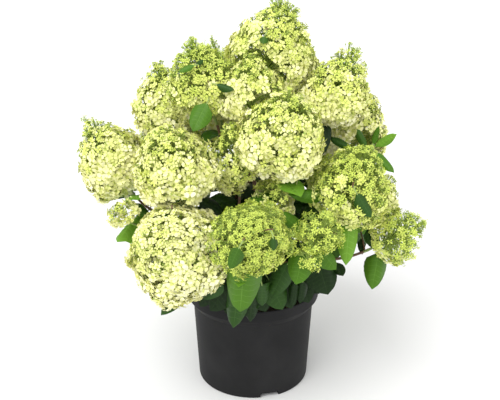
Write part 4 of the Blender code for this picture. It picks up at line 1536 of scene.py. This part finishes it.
def grow_head(head):
    """The rachis and the clusters of one flower head, the outer ones and those between them."""
    rng = np.random.default_rng(random.Random(f"{head.shoot} {head.number}").getrandbits(32))
    lumps = Vector(rng.uniform(-9, 9, 3))
    spacing = SPACING_YOUNG + (SPACING_RIPE - SPACING_YOUNG) * min(1.0, head.ripe)
    top = head.base + head.axis * head.length * 0.9
    branchlets.append(np.linspace(head.base - head.axis * 0.002, top, 8))
    branchlet_radii.append(np.linspace(SHOOT_TIP, 0.0006, 8))
    for depth in LAYERS:
        apart = spacing * depth[0]
        _, members = spread_over(head, apart, lumps, rng)
        shares, centres = spread_over(head, apart * math.sqrt(CLUSTER_FLORETS), lumps, rng)
        nearest = np.argmin(np.linalg.norm(members[:, None] - centres[None], axis=-1), axis=1)
        for k, (share, centre) in enumerate(zip(shares, centres)):
            mine = members[nearest == k]
            if len(mine) and rng.random() >= head.loose:
                grow_cluster(head, depth, share, centre, mine, rng)


for head in heads:
    grow_head(head)


def fitting(head, spots):
    return room.owned(head.shoot, spots) & room.off_wood(head.shoot, spots) & clear_of_pot(spots)


kept_flowers, kept_buds = [], []
floret_stalks, bud_stalks = [], []
for head in heads:
    mine = [row for row in flowers if row[0] is head]
    clear = fitting(head, np.array([flower.spot for _, flower, _ in mine]))
    for (_, flower, neck), fits in zip(mine, clear):
        if fits:
            kept_flowers.append(flower)
            floret_stalks.append(np.array((neck, flower.spot - flower.out * 0.0006)))
    mine = [row for row in buds if row[0] is head]
    clear = fitting(head, np.array([spot for _, spot, _ in mine]))
    for (_, spot, neck), fits in zip(mine, clear):
        if fits:
            kept_buds.append((spot, unit(spot - neck)))
            bud_stalks.append(np.array((neck, spot)))
stalk_paint = finish(
    "flower stalk",
    STALK_GREEN,
    {"Scale": 700.0, "Relief": 0.0001, "Smoothest": 0.5, "Roughest": 0.65},
)
for name, lines, radii in (
    ("flower_branchlets", branchlets, branchlet_radii),
    ("floret_stalks", floret_stalks, [np.array((0.0006, 0.00042))] * len(floret_stalks)),
    ("bud_stalks", bud_stalks, [np.array((0.0005, 0.0004))] * len(bud_stalks)),
):
    stalks = grow_piece(name, lines, radii, 3, stalk_paint)
    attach(stalks, "root")
    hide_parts(*shoot_nodes)


# The florets: four sepals round a small green eye. The ripe ones are broad, cupped and cream, the
# opening ones pointed, and the young ones narrow and lime, with closed buds between them.
# One tree sets a floret on every point, turned and sized by the point's own attributes.
TINTS = (
    ("ivory", 0.98, (0.94, 0.925, 0.58, 1.0)),
    ("cream", 0.74, (0.90, 0.895, 0.43, 1.0)),
    ("pale", 0.52, (0.79, 0.82, 0.29, 1.0)),
    ("lime", 0.28, (0.70, 0.77, 0.17, 1.0)),
    ("green", -9.0, (0.58, 0.69, 0.11, 1.0)),
)
EYE_COLOURS = {"ivory": (0.74, 0.77, 0.26, 1.0), "cream": (0.66, 0.71, 0.19, 1.0)}
EYE_GREEN = (0.50, 0.59, 0.12, 1.0)
BUD_GREEN = (0.34, 0.46, 0.085, 1.0)
BUD_SIZE = 0.0015


def floret_mesh(name, rows, pointed, seed):
    """A floret of radius 1. Rows are (how far out, half width, height) up one sepal."""
    rng = random.Random(seed)
    verts, faces, eyes = [], [], []
    for number in range(4):
        turn = math.pi / 2 * number + rng.uniform(-0.16, 0.16)
        reach = rng.uniform(0.88, 1.08)
        tilt = rng.uniform(-0.12, 0.26)
        raise_by = 0.05 if number % 2 else 0.0
        way = Vector((math.cos(turn), math.sin(turn), 0))
        side = Vector((-math.sin(turn), math.cos(turn), 0))
        first = len(verts)
        verts.append(way * 0.05 + Vector((0, 0, raise_by)))
        for out, half, height in rows:
            lift = height + tilt * out + raise_by
            middle = way * out * reach + Vector((0, 0, lift))
            edge = Vector((0, 0, 0.10 * half / 0.4))
            verts += [middle - side * half + edge, middle, middle + side * half + edge]
        verts.append(way * reach * 1.0 + Vector((0, 0, rows[-1][2] + tilt + raise_by - 0.04)))
        tip = len(verts) - 1
        faces += [(first, first + 1, first + 2), (first, first + 2, first + 3)]
        eyes += [len(rows) > 1] * 2
        for k in range(len(rows) - 1):
            a = first + 1 + 3 * k
            faces += [(a, a + 3, a + 4, a + 1), (a + 1, a + 4, a + 5, a + 2)]
        a = first + 1 + 3 * (len(rows) - 1)
        faces += [(a, tip, a + 1), (a + 1, tip, a + 2)]
        eyes += [False] * (2 * len(rows))
    first = len(verts)
    high = 0.22 if pointed else 0.15
    wide = 0.17 if pointed else 0.13
    verts.append(Vector((0, 0, high + 0.05)))
    for k in range(5):
        angle = 2 * math.pi * k / 5
        verts.append(Vector((math.cos(angle) * wide, math.sin(angle) * wide, 0.03)))
    for k in range(5):
        faces.append((first, first + 1 + k, first + 1 + (k + 1) % 5))
        eyes.append(True)
    bm = bmesh.new()
    made = [bm.verts.new(vert) for vert in verts]
    for face in faces:
        bm.faces.new([made[k] for k in face])
    for face in bm.faces:
        face.normal_update()
        if face.normal.z < 0:
            face.normal_flip()
    mesh = bpy.data.meshes.new(name)
    bm.to_mesh(mesh)
    bm.free()
    eye = mesh.attributes.new("eye", "BOOLEAN", "FACE")
    eye.data.foreach_set("value", np.array(eyes, bool))
    return mesh


def bud_mesh(seed):
    """A closed bud: a small lobed ball."""
    rng = random.Random(seed)
    bm = bmesh.new()
    bmesh.ops.create_uvsphere(bm, u_segments=4, v_segments=3, radius=1.0)
    for vert in bm.verts:
        vert.co *= rng.uniform(0.9, 1.1)
        vert.co.z *= 1.15
    mesh = bpy.data.meshes.new("bud")
    bm.to_mesh(mesh)
    bm.free()
    mesh.attributes.new("eye", "BOOLEAN", "FACE")
    return mesh


def bloom_tree():
    """Sets one of the kinds on each point, turned and sized by its attributes."""
    tree, given, result = new_group(
        "blooms on points",
        "GeometryNodeTree",
        (
            ("Geometry", "NodeSocketGeometry", None),
            ("Kinds", "NodeSocketCollection", None),
            ("Kind Count", "NodeSocketInt", 1),
            ("Petal Finish", "NodeSocketMaterial", None),
            ("Eye Finish", "NodeSocketMaterial", None),
            ("Seed", "NodeSocketInt", 1),
        ),
        (("Geometry", "NodeSocketGeometry"),),
    )
    turn = add_node(tree, "GeometryNodeInputNamedAttribute", {"Name": "turn"}, data_type="FLOAT_VECTOR")
    rotation = add_node(tree, "FunctionNodeEulerToRotation", {"Euler": turn.outputs[0]})
    size = add_node(tree, "GeometryNodeInputNamedAttribute", {"Name": "size"}, data_type="FLOAT_VECTOR")
    kinds = add_node(
        tree,
        "GeometryNodeCollectionInfo",
        {"Collection": given.outputs["Kinds"], "Separate Children": True, "Reset Children": True},
    )
    last = add_node(tree, "ShaderNodeMath", operation="SUBTRACT")
    tree.links.new(given.outputs["Kind Count"], last.inputs[0])
    last.inputs[1].default_value = 1.0
    pick = add_node(tree, "FunctionNodeRandomValue", data_type="INT")
    pick.inputs[4].default_value = 0
    tree.links.new(last.outputs[0], pick.inputs[5])
    tree.links.new(given.outputs["Seed"], pick.inputs["Seed"])
    placed = add_node(
        tree,
        "GeometryNodeInstanceOnPoints",
        {
            "Points": given.outputs["Geometry"],
            "Instance": kinds.outputs[0],
            "Pick Instance": True,
            "Instance Index": pick.outputs[2],
            "Rotation": rotation.outputs[0],
            "Scale": size.outputs[0],
        },
    )
    real = add_node(tree, "GeometryNodeRealizeInstances", {"Geometry": placed.outputs[0]})
    petals = add_node(
        tree,
        "GeometryNodeSetMaterial",
        {"Geometry": real.outputs[0], "Material": given.outputs["Petal Finish"]},
    )
    eye = add_node(tree, "GeometryNodeInputNamedAttribute", {"Name": "eye"}, data_type="BOOLEAN")
    eyes = add_node(
        tree,
        "GeometryNodeSetMaterial",
        {
            "Geometry": petals.outputs[0],
            "Selection": eye.outputs[0],
            "Material": given.outputs["Eye Finish"],
        },
    )
    tree.links.new(eyes.outputs[0], result.inputs["Geometry"])
    return tree


BLOOMS_ON = bloom_tree()


def points_mesh(name, spots, outs, sizes, seed):
    """A point for each bloom, with its turn and its size. It is spun at random about its stalk."""
    rng = np.random.default_rng(seed)
    spots, outs = np.array(spots), unit(np.array(outs))
    sizes = np.array(sizes)[:, None] * rng.uniform(0.93, 1.07, (len(spots), 3))
    side = unit(np.cross(outs, np.where(np.abs(outs[:, 2:]) > 0.9, (1.0, 0.0, 0.0), (0.0, 0.0, 1.0))))
    up = np.cross(outs, side)
    spin = rng.uniform(0, 2 * np.pi, (len(spots), 1))
    x = side * np.cos(spin) + up * np.sin(spin)
    y = np.cross(outs, x)
    turn = np.stack(
        (
            np.arctan2(y[:, 2], outs[:, 2]),
            -np.arcsin(np.clip(x[:, 2], -1, 1)),
            np.arctan2(x[:, 1], x[:, 0]),
        ),
        axis=1,
    )
    mesh = bpy.data.meshes.new(name)
    mesh.vertices.add(len(spots))
    mesh.vertices.foreach_set("co", spots.astype(np.float32).ravel())
    for label, values in (("turn", turn), ("size", sizes)):
        made = mesh.attributes.new(label, "FLOAT_VECTOR", "POINT")
        made.data.foreach_set("vector", values.astype(np.float32).ravel())
    return mesh


def add_blooms(name, kinds, spots, outs, sizes, petal, eye, seed):
    values = {
        "Kinds": kinds,
        "Kind Count": len(kinds.objects),
        "Petal Finish": petal,
        "Eye Finish": eye,
        "Seed": seed,
    }
    made = made_by(BLOOMS_ON, name, points_mesh(name, spots, outs, sizes, seed), values)
    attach(made, "root")
    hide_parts(*shoot_nodes)


BROAD_SEPAL = ((0.36, 0.31, 0.08), (0.78, 0.44, 0.13))
POINTED_SEPAL = ((0.54, 0.37, 0.13),)
NARROW_SEPAL = ((0.50, 0.24, 0.20),)
broad = hidden_kinds("broad floret", [floret_mesh("floret", BROAD_SEPAL, False, k) for k in range(5)])
pointed = hidden_kinds("pointed floret", [floret_mesh("floret", POINTED_SEPAL, False, k) for k in range(5)])
narrow = hidden_kinds("narrow floret", [floret_mesh("floret", NARROW_SEPAL, True, k) for k in range(5)])
closed = hidden_kinds("bud", [bud_mesh(k) for k in range(3)])
petal_grain = {"Scale": 520.0, "Relief": 0.00025, "Smoothest": 0.60, "Roughest": 0.80}
sorted_blooms = {}
for flower in kept_flowers:
    label = next(row[0] for row in TINTS if flower.age > row[1])
    kind = "young" if flower.age < YOUNG else "opening" if flower.age < RIPE else "open"
    sorted_blooms.setdefault((kind, label), []).append(flower)
for seed, ((kind, label), batch) in enumerate(sorted(sorted_blooms.items())):
    colour = next(row[2] for row in TINTS if row[0] == label)
    add_blooms(
        f"{kind}_florets_{label}",
        {"young": narrow, "opening": pointed, "open": broad}[kind],
        [flower.spot for flower in batch],
        [flower.out for flower in batch],
        [flower.size for flower in batch],
        finish(f"{kind} floret {label}", colour, petal_grain),
        finish(f"{kind} floret {label} eye", EYE_COLOURS.get(label, EYE_GREEN), petal_grain),
        seed,
    )
bud_paint = finish("flower bud", BUD_GREEN, petal_grain)
bud_rng = np.random.default_rng(5)
add_blooms(
    "flower_buds",
    closed,
    [row[0] for row in kept_buds],
    [row[1] for row in kept_buds],
    BUD_SIZE * bud_rng.uniform(0.75, 1.25, len(kept_buds)),
    bud_paint,
    bud_paint,
    11,
)
for kinds in (broad, pointed, narrow, closed):
    drop_kinds(kinds)


# The floor and the light: a plain pale floor, one wide soft lamp high on the left of the camera,
# a weaker one on its right, and a white surround.
FLOOR_PALE = (0.86, 0.86, 0.86, 1.0)
SURROUND = 0.90
KEY_STRENGTH = 2.3
KEY_SPREAD = 45
KEY_FROM = (-0.9, -1.5, 2.0)
floor_mesh = bpy.data.meshes.new("studio_floor")
floor_mesh.from_pydata([(-40, -40, 0), (40, -40, 0), (40, 40, 0), (-40, 40, 0)], [], [(0, 1, 2, 3)])
studio_floor = add_object("studio_floor", floor_mesh)
floor_mesh.materials.append(
    finish("studio floor", FLOOR_PALE, {"Scale": 30.0, "Relief": 0.0, "Smoothest": 0.8, "Roughest": 0.9})
)
studio_floor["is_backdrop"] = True


def add_lamp(name, at, towards, size, power):
    lamp = bpy.data.lights.new(name, "AREA")
    lamp.shape = "DISK"
    lamp.size = size
    lamp.energy = power
    made = bpy.data.objects.new(name, lamp)
    bpy.context.scene.collection.objects.link(made)
    aim = (Vector(towards) - Vector(at)).to_track_quat("-Z", "Y")
    made.matrix_world = Matrix.Translation(at) @ aim.to_matrix().to_4x4()


sun = bpy.data.lights.new("soft key", "SUN")
sun.energy = KEY_STRENGTH
sun.angle = math.radians(KEY_SPREAD)
key = bpy.data.objects.new("soft key", sun)
bpy.context.scene.collection.objects.link(key)
aim = Vector(KEY_FROM).to_track_quat("Z", "Y")
key.matrix_world = Matrix.Translation(Vector(KEY_FROM)) @ aim.to_matrix().to_4x4()
add_lamp("fill lamp", (2.4, -1.8, 1.4), (0, 0, 0.35), 1.6, 12)
world = bpy.data.worlds.new("white surround")
world.use_nodes = True
world.node_tree.nodes["Background"].inputs["Color"].default_value = (1.0, 1.0, 1.0, 1.0)
world.node_tree.nodes["Background"].inputs["Strength"].default_value = SURROUND
bpy.context.scene.world = world
bpy.context.scene.view_settings.view_transform = "Standard"


# The camera: a little above the plant, 1.5 m from it, where the photographer stood.
CAMERA_AT = (-0.0054, -1.3994, 0.8680)
LOOKS_AT = (-0.0054, 0.0, 0.328)
lens = bpy.data.cameras.new("camera")
lens.sensor_width = 36
lens.lens = 64.08
camera = bpy.data.objects.new("camera", lens)
bpy.context.scene.collection.objects.link(camera)
aim = (Vector(LOOKS_AT) - Vector(CAMERA_AT)).to_track_quat("-Z", "Y")
camera.matrix_world = Matrix.Translation(CAMERA_AT) @ aim.to_matrix().to_4x4()
bpy.context.scene.camera = camera

sizes = {"cad": [list(corner) for corner in cad_box], "scene": [list(corner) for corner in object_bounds()]}
